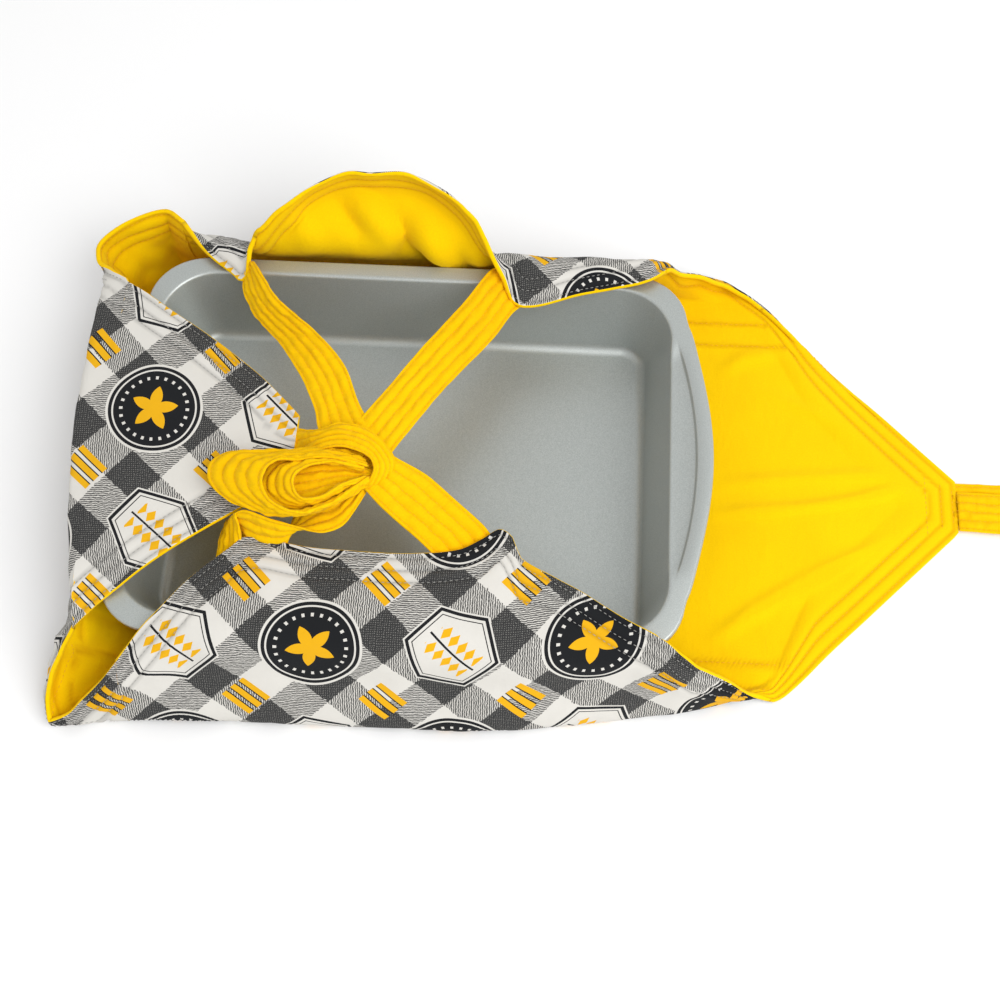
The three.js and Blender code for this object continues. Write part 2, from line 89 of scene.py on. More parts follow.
lamp = bpy.data.objects.new("soft_lamp", bpy.data.lights.new("soft_lamp", "AREA"))
lamp.data.shape = "DISK"
lamp.data.size = lamp_width
lamp.data.energy = lamp_power
lamp.location = lamp_place
lamp.rotation_euler = (-Vector(lamp_place)).to_track_quat("-Z", "Y").to_euler()
scene.collection.objects.link(lamp)

room = bpy.data.worlds.new("room")
room.use_nodes = True
sky = room.node_tree.nodes["Background"]
sky.inputs["Color"].default_value = (1, 1, 1, 1)
sky.inputs["Strength"].default_value = room_light
scene.world = room

floor_mesh = bpy.data.meshes.new("floor")
floor_corners = [(-1, -1), (1, -1), (1, 1), (-1, 1)]
floor_points = [(x * floor_half, y * floor_half, -floor_drop) for x, y in floor_corners]
floor_mesh.from_pydata(floor_points, [], [(0, 1, 2, 3)])
floor = bpy.data.objects.new("floor", floor_mesh)
scene.collection.objects.link(floor)
floor_mesh.materials.append(new_material("pale_floor", floor_finish)[0])

# Baking pan: one pressed sheet of aluminised steel with a grey non-stick coat.
# Its flange is turned down at the edge, and swells at each end into a crescent grip with a sunk shelf.
# Sizes from here on are in millimetres.
MM = 0.001
pan_length = 334
pan_width = 238
pan_depth = 56
pan_draft = 13.5
pan_corner = 30
mouth_corner = 36
least_corner = 9
pan_sheet = 1
pan_flange = 12
grip_reach = 15.2
shelf_reach = 13
shelf_sweep = 2.2
shelf_steep = 3
grip_hold = 0.88
corner_draw = -1
grip_drop = 3.4
pan_lip = 4
pan_under = 4.5
pan_floor = pan_under + pan_sheet
rim_top = pan_floor + pan_depth
corner_steps = 14
end_steps = 44


def new_object(name, points, faces, materials):
    """A smooth mesh object from points, with its place in its mesh."""
    mesh = bpy.data.meshes.new(name)
    mesh.from_pydata((np.asarray(points) * MM).tolist(), [], [tuple(int(k) for k in f) for f in faces])
    for material in materials:
        mesh.materials.append(material)
    mesh.shade_smooth()
    piece = bpy.data.objects.new(name, mesh)
    scene.collection.objects.link(piece)
    return piece


def add_node(tree, kind, links=(), **settings):
    """A node with its settings, and its inputs joined to other sockets or set to values."""
    made = tree.nodes.new(kind)
    for key, value in settings.items():
        setattr(made, key, value)
    for key, value in dict(links).items():
        if isinstance(value, bpy.types.NodeSocket):
            tree.links.new(value, made.inputs[key])
        else:
            made.inputs[key].default_value = value
    return made


def grain(tree, where, scale, detail):
    """Chance grain from 0 to 1 over a material's places."""
    links = {"Vector": where, "Scale": scale, "Detail": detail}
    return add_node(tree, "ShaderNodeTexNoise", links).outputs["Fac"]


def pressed(tree, height, strength, depth, over=None):
    """A surface pressed by a height, to a depth in metres, over a wider pressing where there is one."""
    links = {"Height": height, "Strength": strength, "Distance": depth}
    if over:
        links["Normal"] = over
    return add_node(tree, "ShaderNodeBump", links).outputs["Normal"]


def pan_ring(out, z, swell, least, sink):
    """One ring of the pan: out from the inside top edge, at height z, swollen and sunk at the grips."""
    half_x = pan_length / 2 + out
    half_y = pan_width / 2 + out
    height = min(max((z - pan_floor) / pan_depth, 0), 1)
    corner = max(pan_corner + (mouth_corner - pan_corner) * height + out, least_corner)
    points = []
    quarter = np.linspace(0, math.pi / 2, corner_steps + 1)
    straight = np.linspace(-1, 1, end_steps + 1)[1:-1] * (half_y - corner)
    for k, (sx, sy) in enumerate([(1, 1), (-1, 1), (-1, -1), (1, -1)]):
        turn = quarter + k * math.pi / 2
        x = sx * (half_x - corner) + corner * np.cos(turn)
        y = sy * (half_y - corner) + corner * np.sin(turn)
        points += list(zip(x, y))
        if k in (1, 3):
            points += [(sx * half_x, y if k == 3 else -y) for y in straight]
    ring = []
    for x, y in points:
        share = max(0, 1 - shelf_sweep * (y / half_y) ** 2)
        shelf = min(1, shelf_steep * share)
        dip = shelf**2 * (3 - 2 * shelf)
        if least:
            share = least + (1 - least) * math.exp(-((y / (grip_hold * half_y)) ** 2))
        ring.append((x + math.copysign(swell * share, x), y, z - sink * dip))
    return ring


def arc(centre, radius, start, stop, count):
    """Points on a fillet in the pan's section, as (out, height)."""
    turns = np.radians(np.linspace(start, stop, count))
    return [(centre[0] + radius * math.cos(t), centre[1] + radius * math.sin(t)) for t in turns]


floor_fillet = 8
mouth_fillet = 2.6
rim_roll = 1.6
step_run = 1.5
step_out = mouth_fillet + 0.3
step_shape = [(0, 1), (0.25, 0.86), (0.6, 0.3), (1, 0)]
at_edge = (grip_reach, corner_draw, 0)
floor_shares = (0.35, 0.8)
lean = math.degrees(math.atan2(pan_draft, pan_depth))
foot = (-pan_draft - floor_fillet + 1.2, pan_floor + floor_fillet)
mouth = (mouth_fillet * 0.8, rim_top - mouth_fillet)
roll = (pan_flange - rim_roll, rim_top - rim_roll)
# Rings of the section: out from the inside top edge, height, swell at the grips, its least share, sink
inside = [(*p, 0, 0, 0) for p in arc(foot, floor_fillet, -90, -lean, 9)]
inside += [(-mouth_fillet * 0.6, rim_top - mouth_fillet * 1.6, 0, 0, grip_drop * 0.9)]
inside += [(*p, 0, 0, grip_drop) for p in arc(mouth, mouth_fillet, 170, 100, 5)]
crest = [(step_out + step_run * run, rim_top, shelf_reach, 0, grip_drop * left) for run, left in step_shape]
crest += [(*p, *at_edge) for p in arc(roll, rim_roll, 90, 0, 6)]
crest += [(pan_flange, rim_top - pan_lip, *at_edge)]
crest += [(pan_flange - 0.5, rim_top - pan_lip - 0.3, *at_edge)]
under = [(pan_flange - pan_sheet, rim_top - pan_lip, *at_edge)]
under += [(pan_flange - pan_sheet - 0.6, rim_top - pan_sheet - 0.6, *at_edge)]
under += [(step_out + step_run + 0.9, rim_top - pan_sheet, shelf_reach, 0, 0)]
under += [(step_out + 0.9, rim_top - pan_sheet, shelf_reach, 0, grip_drop)]
under += [(pan_sheet + 1, rim_top - pan_sheet - 0.5, 0, 0, grip_drop)]
under += [(pan_sheet, rim_top - pan_sheet - 3, 0, 0, grip_drop)]
under += [(*p, 0, 0, 0) for p in arc(foot, floor_fillet + pan_sheet, -lean, -90, 9)]
rings = np.array([pan_ring(*place) for place in inside + crest + under])
around = rings.shape[1]
middle_rings = [rings[0] * [share, share, 1] for share in floor_shares]
last_rings = [rings[-1] * [share, share, 1] for share in floor_shares[::-1]]
rings = np.array([*middle_rings, *rings, *last_rings])
pan_points = np.vstack([rings.reshape(-1, 3), [[0, 0, pan_floor], [0, 0, pan_under]]])
pan_faces = []
for k in range(around):
    follow = (k + 1) % around
    pan_faces.append((len(pan_points) - 2, k, follow))
    last = (len(rings) - 1) * around
    pan_faces.append((len(pan_points) - 1, last + follow, last + k))
    for r in range(len(rings) - 1):
        low = r * around
        high = low + around
        pan_faces.append((low + k, high + k, high + follow, low + follow))

coat_finish = {"Base Color": linear(168, 173, 171), "Roughness": 0.46, "Metallic": 0.62}
coat, tree, shader = new_material("grey_non_stick_coat", coat_finish)
place = add_node(tree, "ShaderNodeTexCoord").outputs["Object"]
speckle = grain(tree, place, 1900, 2)
haze = grain(tree, place, 9, 3)
tint = add_node(tree, "ShaderNodeValToRGB", {"Fac": speckle})
tint.color_ramp.elements[0].position = 0.3
tint.color_ramp.elements[0].color = linear(166, 171, 169)
tint.color_ramp.elements[1].position = 0.72
tint.color_ramp.elements[1].color = linear(192, 197, 194)
tree.links.new(tint.outputs["Color"], shader.inputs["Base Color"])
satin = add_node(tree, "ShaderNodeMapRange", {"Value": haze, "To Min": 0.38, "To Max": 0.46})
tree.links.new(satin.outputs["Result"], shader.inputs["Roughness"])
tree.links.new(pressed(tree, speckle, 0.12, 0.0003), shader.inputs["Normal"])

pan = new_object("baking_pan", pan_points, pan_faces, [coat])
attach(pan, "pan")
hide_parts("pan")

# Cloth: one quilted square cut off at its front and back corners, folded cornerwise round the pan.
# Printed cotton outside, batting, plain yellow cotton inside, turned at the edges and sewn with three rows.
# It is drawn from the base's left crease to the open tip; the part that stays on the pan is made here.
cloth_thick = 4.2
hem_thick = 3.0
stitch_rows = (3, 11, 19)
hem_lines = (0, 0.8, 2.1, 3, 3.9, 5.4, 7.2, 9, 10.1, 11, 11.9, 13.4, 15.2, 17, 18.1, 19, 19.9, 22, 26)
seam_pinch = 1.7
seam_width = 1.1
hem_ease = 3
hem_share = 0.42
slant_depth = 12
slant_passes = 10
least_square = 0.42
crease_y = 121.5
crease_x = 160
fold_x = 162
tip_fold = 234.8
tip_end = 360
reach = 378
over = 70.2
column_step = 3
crease_inset = 16
wave_gain = 1.6
fold_points = 60


def curve_through(points, shares):
    """Points on a smooth curve through the given ones, at shares of the way along it."""
    given = np.array(points, float)
    ends = [2 * given[0] - given[1], 2 * given[-1] - given[-2]]
    given = np.vstack([ends[0], given, ends[1]])
    gaps = np.maximum(np.linalg.norm(np.diff(given, axis=0), axis=1), 1e-6)[:, None] ** 0.5
    steps = len(given) - 3
    way = np.clip(np.asarray(shares, float) * steps, 0, steps - 1e-9)
    k = way.astype(int)
    t = (way - k)[:, None]
    before, here, after, beyond = (given[k + n] for n in range(4))
    first, second, third = (gaps[k + n] for n in range(3))
    rise = (here - before) / first - (after - before) / (first + second) + (after - here) / second
    fall = (after - here) / second - (beyond - here) / (second + third) + (beyond - after) / third
    start = (2 * t**3 - 3 * t**2 + 1) * here + (t**3 - 2 * t**2 + t) * rise * second
    return start + (3 * t**2 - 2 * t**3) * after + (t**3 - t**2) * fall * second


def steady(keys, values, at):
    """Values between keys on smooth curves that never overshoot them."""
    keys = np.array(keys, float)
    values = np.array(values, float)
    step = np.diff(keys).reshape(-1, *[1] * (values.ndim - 1))
    grade = np.diff(values, axis=0) / step
    slope = np.zeros_like(values)
    both = grade[:-1] * grade[1:]
    total = np.where(np.abs(grade[:-1] + grade[1:]) < 1e-9, 1, grade[:-1] + grade[1:])
    slope[1:-1] = np.where(both > 0, 2 * both / total, 0)
    slope[0] = grade[0]
    slope[-1] = grade[-1]
    at = np.clip(np.asarray(at, float), keys[0], keys[-1])
    k = np.clip(np.searchsorted(keys, at) - 1, 0, len(keys) - 2)
    width = step[k]
    t = (at - keys[k]).reshape(-1, *[1] * (values.ndim - 1)) / width
    low = (2 * t**3 - 3 * t**2 + 1) * values[k] + (t**3 - 2 * t**2 + t) * width * slope[k]
    return low + (3 * t**2 - 2 * t**3) * values[k + 1] + (t**3 - t**2) * width * slope[k + 1]


def way_along(line):
    """Distance of each point of a polyline from its start."""
    return np.concatenate([[0], np.cumsum(np.linalg.norm(np.diff(line, axis=0), axis=1))])


def spaced(line, places):
    """Points along a close polyline, at distances from its start."""
    far = way_along(line)
    return np.stack([np.interp(places, far, line[:, n]) for n in range(3)], axis=1)


def length_of(line):
    """Length of a polyline."""
    return float(np.linalg.norm(np.diff(line, axis=0), axis=1).sum())


def edge_slant(edge, inner):
    """How much longer a hem is along each column than square to the edge."""
    along = np.gradient(edge, axis=0)
    along /= np.linalg.norm(along, axis=1)[:, None]
    across = inner - edge
    across /= np.linalg.norm(across, axis=1)[:, None]
    square = np.sqrt(np.clip(1 - (along * across).sum(axis=1) ** 2, least_square, 1))
    slant = 1 / square
    for _ in range(slant_passes):
        slant[1:-1] = slant[1:-1] / 2 + (slant[:-2] + slant[2:]) / 4
    return slant


def flap_line(x, side, crease, toe, ridge, edge):
    """Section of a flap: along the floor, up from its toe to the rim, and over it to the free edge."""
    rise = (toe[0] + (ridge[0] - toe[0]) * 0.5, toe[1] + (ridge[1] - toe[1]) * 0.52)
    heel = (crease + (toe[0] - crease) * 0.75, 0)
    return [(x, side * y, z) for y, z in [(crease, 0), heel, toe, rise, ridge, edge]]


# Sections of the flaps: place along the pan, then toe, ridge and free edge as (out, height)
front_sections = [
    (-160, (172.4, 6.5), (160.5, 40), (149, 54.5)),
    (-140, (171.4, 7), (143.5, 61), (125.5, 68.4)),
    (-116, (170.4, 7), (134, 68.5), (95, 70.2)),
    (-98, (169.4, 7), (134, 68.5), (78.5, 70.2)),
    (-89, (169.4, 7), (134, 68.5), (71.2, 70.2)),
    (-80, (169.4, 7), (134, 68.5), (71.8, 70.2)),
    (-50, (169.4, 7), (134, 68.5), (75.5, 70.2)),
    (-10, (168.4, 7), (134, 68.5), (77, 70.2)),
    (23, (168.4, 7), (134, 68.5), (75.5, 70.2)),
    (40, (168.4, 7), (134, 68.5), (72.5, 70.2)),
    (54, (167.4, 7), (134, 68.5), (64.7, 70.4)),
    (64, (166.4, 7), (134, 68.5), (58.5, 70.5)),
    (71, (165.9, 7), (134, 68.5), (62.5, 70.2)),
    (78, (165.4, 7), (134, 68.5), (77, 70.2)),
    (99, (162.4, 6.5), (134, 68.5), (88, 69.9)),
    (114, (160.4, 6.5), (134, 68.5), (95, 69.5)),
    (144, (155.4, 6), (134.5, 67), (112, 68.8)),
    (166, (151, 5), (138.5, 66.2), (124.5, 69.4)),
    (176, (149.5, 4.5), (143, 58), (133.5, 67.3)),
    (186, (147.5, 6), (145.5, 43), (138.5, 60)),
    (208, (140.5, 4.5), (143, 20), (139, 37)),
    (229, (131.5, 1), (136, 3), (138, 5.5)),
    (236, (126.5, 0.5), (132, 1.2), (138, 2.2)),
    (242, (122.5, 0), (128.5, 0.4), (135.6, 1)),
    (252, (116, 0), (121.5, 0), (127.3, 0.5)),
    (275, (93, 0), (98, 0), (103, 0.3)),
    (300, (68, 0), (73, 0), (78, 0)),
    (330, (38, 0), (43, 0), (48, 0)),
    (360, (8, 0), (13, 0), (18, 0)),
]
back_sections = [
    (-160, (161.4, 6), (152.5, 56), (155, 66.5)),
    (-140, (159.4, 7), (146, 64), (129, 69.5)),
    (-122, (159.4, 7), (139, 70.2), (114.5, 71)),
    (-116, (159.4, 7), (138, 70.2), (110, 71.5)),
    (-112.5, (159.4, 7), (138, 69.8), (127, 80.5)),
    (-108, (159.4, 7), (138.5, 69.2), (143.5, 86)),
    (-102, (159.4, 7), (139, 69), (151.7, 89.3)),
    (-96, (159.4, 7), (139.5, 68.8), (159.6, 90.2)),
    (-86, (159.4, 7), (140.2, 69), (169.2, 94.3)),
    (-75, (159.4, 7), (141, 69.2), (179.6, 97.6)),
    (-64, (159.4, 7), (141.5, 69.8), (185.7, 100.6)),
    (-53, (159.4, 7), (142, 70.4), (189.5, 102.6)),
    (-38, (159.4, 7), (142, 70.8), (191.3, 104.1)),
    (-24, (159.4, 7), (142, 71.2), (191.5, 104.5)),
    (-10, (159.4, 7), (142, 71.2), (190.4, 103.9)),
    (5, (159.4, 7), (142, 71.2), (187.4, 102.6)),
    (16, (158.9, 7), (141.5, 70.6), (182.2, 101)),
    (27, (158.4, 7), (141, 70), (174.1, 99)),
    (34, (158.4, 7), (140.5, 69.7), (165.2, 97.6)),
    (40, (158.4, 7), (140, 69.4), (155.6, 95.4)),
    (45, (158.4, 7), (139.4, 69.3), (144, 93.5)),
    (48.5, (158.4, 7), (139, 69.2), (134, 90.5)),
    (53, (158.4, 7), (138.7, 69.2), (123.5, 83.5)),
    (57, (158.4, 7), (138.5, 69.2), (115.5, 75.5)),
    (64, (158.4, 7), (138, 69.2), (101, 70.8)),
    (70, (157.4, 7), (138, 69.2), (98.5, 70.2)),
    (104, (156.4, 7), (138, 69.2), (109, 69.7)),
    (130, (155.4, 6), (137, 68.2), (116, 69.2)),
    (153, (153.4, 6), (139, 67.8), (124, 70.2)),
    (164, (152, 5), (146.5, 54), (135.5, 65)),
    (175, (151.5, 4), (152, 35), (144, 47)),
    (190, (150, 3), (159, 22), (150, 36)),
    (206, (148, 1), (162, 9.5), (154.5, 21)),
    (222, (141, 0.5), (155.5, 5.5), (150, 13)),
    (236, (131, 0.5), (146, 4), (141, 10)),
    (252, (116, 0.5), (129, 3), (126, 8)),
    (275, (92, 0), (104, 0.7), (103, 2.5)),
    (300, (68, 0), (76, 0.5), (78, 2)),
    (330, (38, 0), (43, 0), (48, 0.5)),
    (360, (8, 0), (13, 0), (18, 0)),
]
# The back edge stands up as an arch: place along it, turn of its hem and tuck of its very edge
arch_bends = [(-112.5, 0, 0), (-108, 0.3, 0.2), (-96, 0.8, 0.6), (-75, 1.15, 1.1), (-62, 1.2, 1.5)]
arch_bends += [(-45, 1.15, 1), (-30, 1.2, 1.5), (-10, 1.15, 0.9), (8, 1.2, 1.5), (20, 1.1, 1.4)]
arch_bends += [(32, 0.9, 0.9), (40, 0.6, 0.5), (48.5, 0.25, 0.1), (57, 0, 0)]
bend_start = 34
bend_end = 18
tuck_run = 5.5
# The front hem's rows run together where the flap comes down to the table
gather_places = (184, 208, 230, 244, 264)
gather_shares = (1, 0.55, 0.25, 0.6, 1)
fine = np.linspace(0, 1, 240)


def crease_at(x):
    """Half width of the flat base, which runs in with the cut edges towards the open tip."""
    return min(crease_y, reach - x - crease_inset)


def curled(line, turn, tuck):
    """A flap's section with its hem stood up by a turn, and its very edge tucked in further, in radians."""
    steps = np.diff(line, axis=0)
    left = np.cumsum(np.linalg.norm(steps, axis=1)[::-1])[::-1]
    share = np.clip((bend_start - left) / (bend_start - bend_end), 0, 1)
    bend = turn * share**2 * (3 - 2 * share) + tuck * np.clip(1 - left / tuck_run, 0, 1)
    y = steps[:, 1] * np.cos(bend) - steps[:, 2] * np.sin(bend)
    z = steps[:, 1] * np.sin(bend) + steps[:, 2] * np.cos(bend)
    return line[0] + np.vstack([[0, 0, 0], np.cumsum(np.stack([steps[:, 0], y, z], axis=1), axis=0)])


def flap_columns(sections, side, columns):
    """A close polyline for each column of a flap, from its crease to its free edge."""
    keys = [s[0] for s in sections]
    controls = steady(keys, [s[1:] for s in sections], columns)
    lines = []
    for x, (toe, ridge, edge) in zip(columns, controls):
        lines.append(curve_through(flap_line(x, side, crease_at(x), toe, ridge, edge), fine))
    return lines


def hem_places(total, near_slant, far_slant, middle_rows):
    """Distances along a column for its grid rows: close at the stitch rows of both hems."""
    fit = min(1, hem_share * total / (hem_lines[-1] * max(near_slant, far_slant)))
    near = np.array(hem_lines) * near_slant * fit
    far = np.array(hem_lines) * far_slant * fit
    between = np.linspace(near[-1], total - far[-1], middle_rows + 2)[1:-1]
    return np.concatenate([near, between, (total - far)[::-1]])


def across_columns(columns, middle_rows):
    """The printed face from the front edge over the base to the back edge, with its flat-cut places."""
    front = flap_columns(front_sections, -1, columns)
    bends = steady([b[0] for b in arch_bends], [b[1:] for b in arch_bends], columns)
    back = [curled(line, *bend) for line, bend in zip(flap_columns(back_sections, 1, columns), bends)]
    slants = []
    for lines in (front, back):
        edge = np.array([line[-1] for line in lines])
        inner = np.array([spaced(line[::-1], [slant_depth])[0] for line in lines])
        slants.append(edge_slant(edge, inner))
    slants[0] = slants[0] * steady(gather_places, gather_shares, columns)
    face = []
    flat = []
    hems = []
    for i, x in enumerate(columns):
        line = np.vstack([front[i][::-1], back[i]])
        total = length_of(line)
        places = hem_places(total, slants[0][i], slants[1][i], middle_rows)
        face.append(spaced(line, places))
        zero = length_of(front[i]) + crease_at(x)
        flat.append(np.stack([np.full(len(places), x), places - zero], axis=1))
        hems.append(np.minimum(places / slants[0][i], (total - places) / slants[1][i]))
    return np.array(face), np.array(flat), np.array(hems)


def facing(face, sense):
    """Directions square to a grid of points, towards the lining."""
    along = np.gradient(face, axis=0)
    across = np.gradient(face, axis=1)
    normal = np.cross(along, across) * sense
    return normal / np.maximum(np.linalg.norm(normal, axis=2), 1e-9)[:, :, None]


def waves(points, size, seed, stretch=(1, 1, 1)):
    """Smooth chance waves from -1 to 1 over a grid of points, about size across."""
    offset = Vector((seed * 7.3, seed * 3.1, seed * 1.7))
    scale = np.array(stretch) / size
    flat = points.reshape(-1, 3) * scale
    return np.array([noise.noise(Vector(p) + offset) for p in flat]).reshape(points.shape[:2]) * wave_gain


def ripples(points, layers):
    """Waves of several sizes together, each layer given as size, seed and height."""
    return sum(waves(points, size, seed) * height for size, seed, height in layers)


def ramp(value, start, run):
    """0 up to a start, 1 from a run beyond it, and an even rise between."""
    return np.clip((value - start) / run, 0, 1)


def soft_fold(flat, line, height, width):
    """A soft ridge along a line on the flat-cut cloth, fading at both ends."""
    way = np.linspace(0, 1, fold_points)
    path = curve_through([(*p, 0) for p in line], way)
    near = np.exp(-((np.linalg.norm(flat[:, :, None] - path[:, :2], axis=3) / width) ** 2))
    total = near.sum(axis=2)
    share = (near * way).sum(axis=2) / np.maximum(total, 1e-9)
    crest = total * length_of(path) / ((fold_points - 1) * width * math.sqrt(math.pi))
    return height * crest * np.sin(math.pi * share)


def with_folds(height, flat, folds):
    """A height over the flat-cut cloth with soft ridges added, each given as line, height and width."""
    for fold in folds:
        height = height + soft_fold(flat, *fold)
    return height


def row_marks(hem):
    """How near each point lies to a stitch row, from 0 to 1."""
    return sum(np.exp(-(((hem - row) / seam_width) ** 2)) for row in stitch_rows)


def pinched(hem):
    """Thickness of the quilt at a distance from its edge: sewn down along each stitch row."""
    thin = (cloth_thick - hem_thick) * np.clip(1 - hem / (stitch_rows[-1] + hem_ease), 0, 1)
    return cloth_thick - thin - seam_pinch * row_marks(hem)


def grid_faces(columns, rows, first, turned):
    """Quads over a grid of points."""
    k = first + np.arange(columns * rows).reshape(columns, rows)
    quads = [k[:-1, :-1], k[1:, :-1], k[1:, 1:], k[:-1, 1:]]
    return np.stack(quads[::-1] if turned else quads, axis=-1).reshape(-1, 4)


def add_cut_map(piece, places):
    """A map of the flat-cut places of a mesh's points, in metres, for its cloth to be printed or woven by."""
    cut = piece.data.uv_layers.new(name="flat_cut")
    corner = np.empty(len(piece.data.loops), dtype=np.int32)
    piece.data.loops.foreach_get("vertex_index", corner)
    cut.uv.foreach_set("vector", (np.asarray(places) * MM)[corner].astype(np.float32).ravel())


def add_marks(piece, name, kind, domain, values):
    """A named attribute on a mesh's points or edges."""
    piece.data.attributes.new(name, kind, domain).data.foreach_set("value", values)


def quilt(name, face, flat, hem, inward, sense, cut, sewn_in=0, sag=0):
    """A closed quilted panel from its printed face, rolled at its free edges, and its two faces as grids."""
    edge_roll = 0.9
    seam_sag = 1.4
    columns, rows = hem.shape
    slack = (cloth_thick - pinched(hem) + seam_sag * sewn_in)[:, :, None] / 2
    sunk = np.zeros(hem.shape) + sag * (1 - 0.6 * sewn_in)
    outer = face + inward * slack
    inner = face + inward * (cloth_thick - slack - sunk[:, :, None])
    border = [(i, 0) for i in range(columns)]
    border += [(columns - 1, j) for j in range(1, rows)]
    border += [(i, rows - 1) for i in range(columns - 2, -1, -1)]
    border += [(0, j) for j in range(rows - 2, 0, -1)]
    rolled = []
    for i, j in border:
        back = face[min(max(i, 1), columns - 2), min(max(j, 1), rows - 2)] - face[i, j]
        push = 0 if cut[i, j] else -edge_roll * back / max(np.linalg.norm(back), 0.001)
        rolled.append((outer[i, j] + inner[i, j]) / 2 + push)
    points = np.vstack([outer.reshape(-1, 3), inner.reshape(-1, 3), rolled])
    count = columns * rows
    ring = len(border)
    index = np.array([i * rows + j for i, j in border])
    after = np.roll(index, -1)
    edge = 2 * count + np.arange(ring)
    edge_after = np.roll(edge, -1)
    turned = sense > 0
    low = np.stack([index, after, edge_after, edge], axis=1)
    high = np.stack([edge, edge_after, count + after, count + index], axis=1)
    if not turned:
        low = low[:, ::-1]
        high = high[:, ::-1]
    print_faces = grid_faces(columns, rows, 0, turned)
    lining_faces = grid_faces(columns, rows, count, not turned)
    faces = np.vstack([print_faces, lining_faces, low, high])
    piece = new_object(name, points, faces, [print_cloth, lining])
    slots = np.ones(len(faces), dtype=np.int32)
    slots[: len(print_faces)] = 0
    piece.data.polygons.foreach_set("material_index", slots)
    place = flat.reshape(-1, 2)
    add_cut_map(piece, np.vstack([place, place, place[index]]))
    # Seam marks on the points, by which both cloths are darkened with painted shade along the stitch rows and
    # the base's seam rows.
    marks = np.clip(row_marks(hem) + sewn_in, 0, 1).ravel()
    add_marks(piece, "seam", "FLOAT", "POINT", np.concatenate([marks, marks, np.zeros(ring)]))
    held = np.concatenate([cut.ravel(), cut.ravel(), np.zeros(ring, bool)])
    ends = np.empty(2 * len(piece.data.edges), dtype=np.int32)
    piece.data.edges.foreach_get("vertices", ends)
    one, two = ends[0::2], ends[1::2]
    sharp = held[one] & held[two] & ((one < count) == (two < count))
    add_marks(piece, "sharp_edge", "BOOLEAN", "EDGE", sharp)
    return piece, outer, inner


def plies(panel):
    """Names of a panel's three layers in the solid model."""
    return [f"{panel}_{ply}" for ply in ("outer", "batting", "lining")]


def mixed(tree, share, one, two):
    """The first colour with a share of the second over it."""
    return add_node(tree, "ShaderNodeMix", {0: share, 6: one, 7: two}, data_type="RGBA").outputs[2]


def weave_bump(tree, shader, where, pitch, depth, pucker):
    """Plain weave: two crossing sets of threads, pressed into the shader's normal over wider puckers."""
    narrow = add_node(tree, "ShaderNodeMapping", {"Vector": where, "Scale": (1, 0.4, 1)})
    gathers = pressed(tree, grain(tree, narrow.outputs[0], 190, 2), 0.6, pucker * MM)
    height = None
    for direction in ("X", "Y"):
        links = {"Vector": where, "Scale": math.pi / (10 * pitch * MM), "Distortion": 1.2}
        threads = add_node(tree, "ShaderNodeTexWave", links, bands_direction=direction)
        if height is None:
            height = threads.outputs["Fac"]
        else:
            links = {0: height, 1: threads.outputs["Fac"]}
            height = add_node(tree, "ShaderNodeMath", links, operation="MULTIPLY").outputs[0]
    slubs = grain(tree, where, 260, 3)
    uneven = add_node(tree, "ShaderNodeMath", {0: height, 1: slubs}, operation="ADD")
    tree.links.new(pressed(tree, uneven.outputs[0], 0.5, depth * MM, gathers), shader.inputs["Normal"])


def yellow_cotton(name, lit, deeper_tone, pitch, pucker, seam_shade):
    """Plain woven yellow cotton, a little deeper in random patches, and darkened along its stitch rows with
    painted shade.
    """
    finish = {"Base Color": lit, "Roughness": 0.85, "Specular IOR Level": 0.08}
    finish.update({"Sheen Weight": 0.03, "Sheen Roughness": 0.5})
    material, tree, shader = new_material(name, finish)
    where = add_node(tree, "ShaderNodeUVMap", uv_map="flat_cut").outputs["UV"]
    body = add_node(tree, "ShaderNodeTexCoord").outputs["Object"]
    cloud = grain(tree, body, 16, 4)
    fleck = grain(tree, where, 900, 2)
    blend = add_node(tree, "ShaderNodeMath", {0: cloud, 1: fleck}, operation="ADD")
    span = {"Value": blend.outputs[0], "From Min": 0.7, "From Max": 1.3}
    share = add_node(tree, "ShaderNodeMapRange", span)
    tint = mixed(tree, share.outputs["Result"], lit, deeper_tone)
    # Painted shade: along the stitch rows the yellow is mixed towards a deep orange, by the seam marks times
    # seam_shade.
    seam = add_node(tree, "ShaderNodeAttribute", attribute_name="seam").outputs["Fac"]
    depth = add_node(tree, "ShaderNodeMath", {0: seam, 1: seam_shade}, operation="MULTIPLY")
    sunk = mixed(tree, depth.outputs[0], tint, linear(196, 122, 0))
    tree.links.new(sunk, shader.inputs["Base Color"])
    weave_bump(tree, shader, where, pitch, 0.25, pucker)
    return material


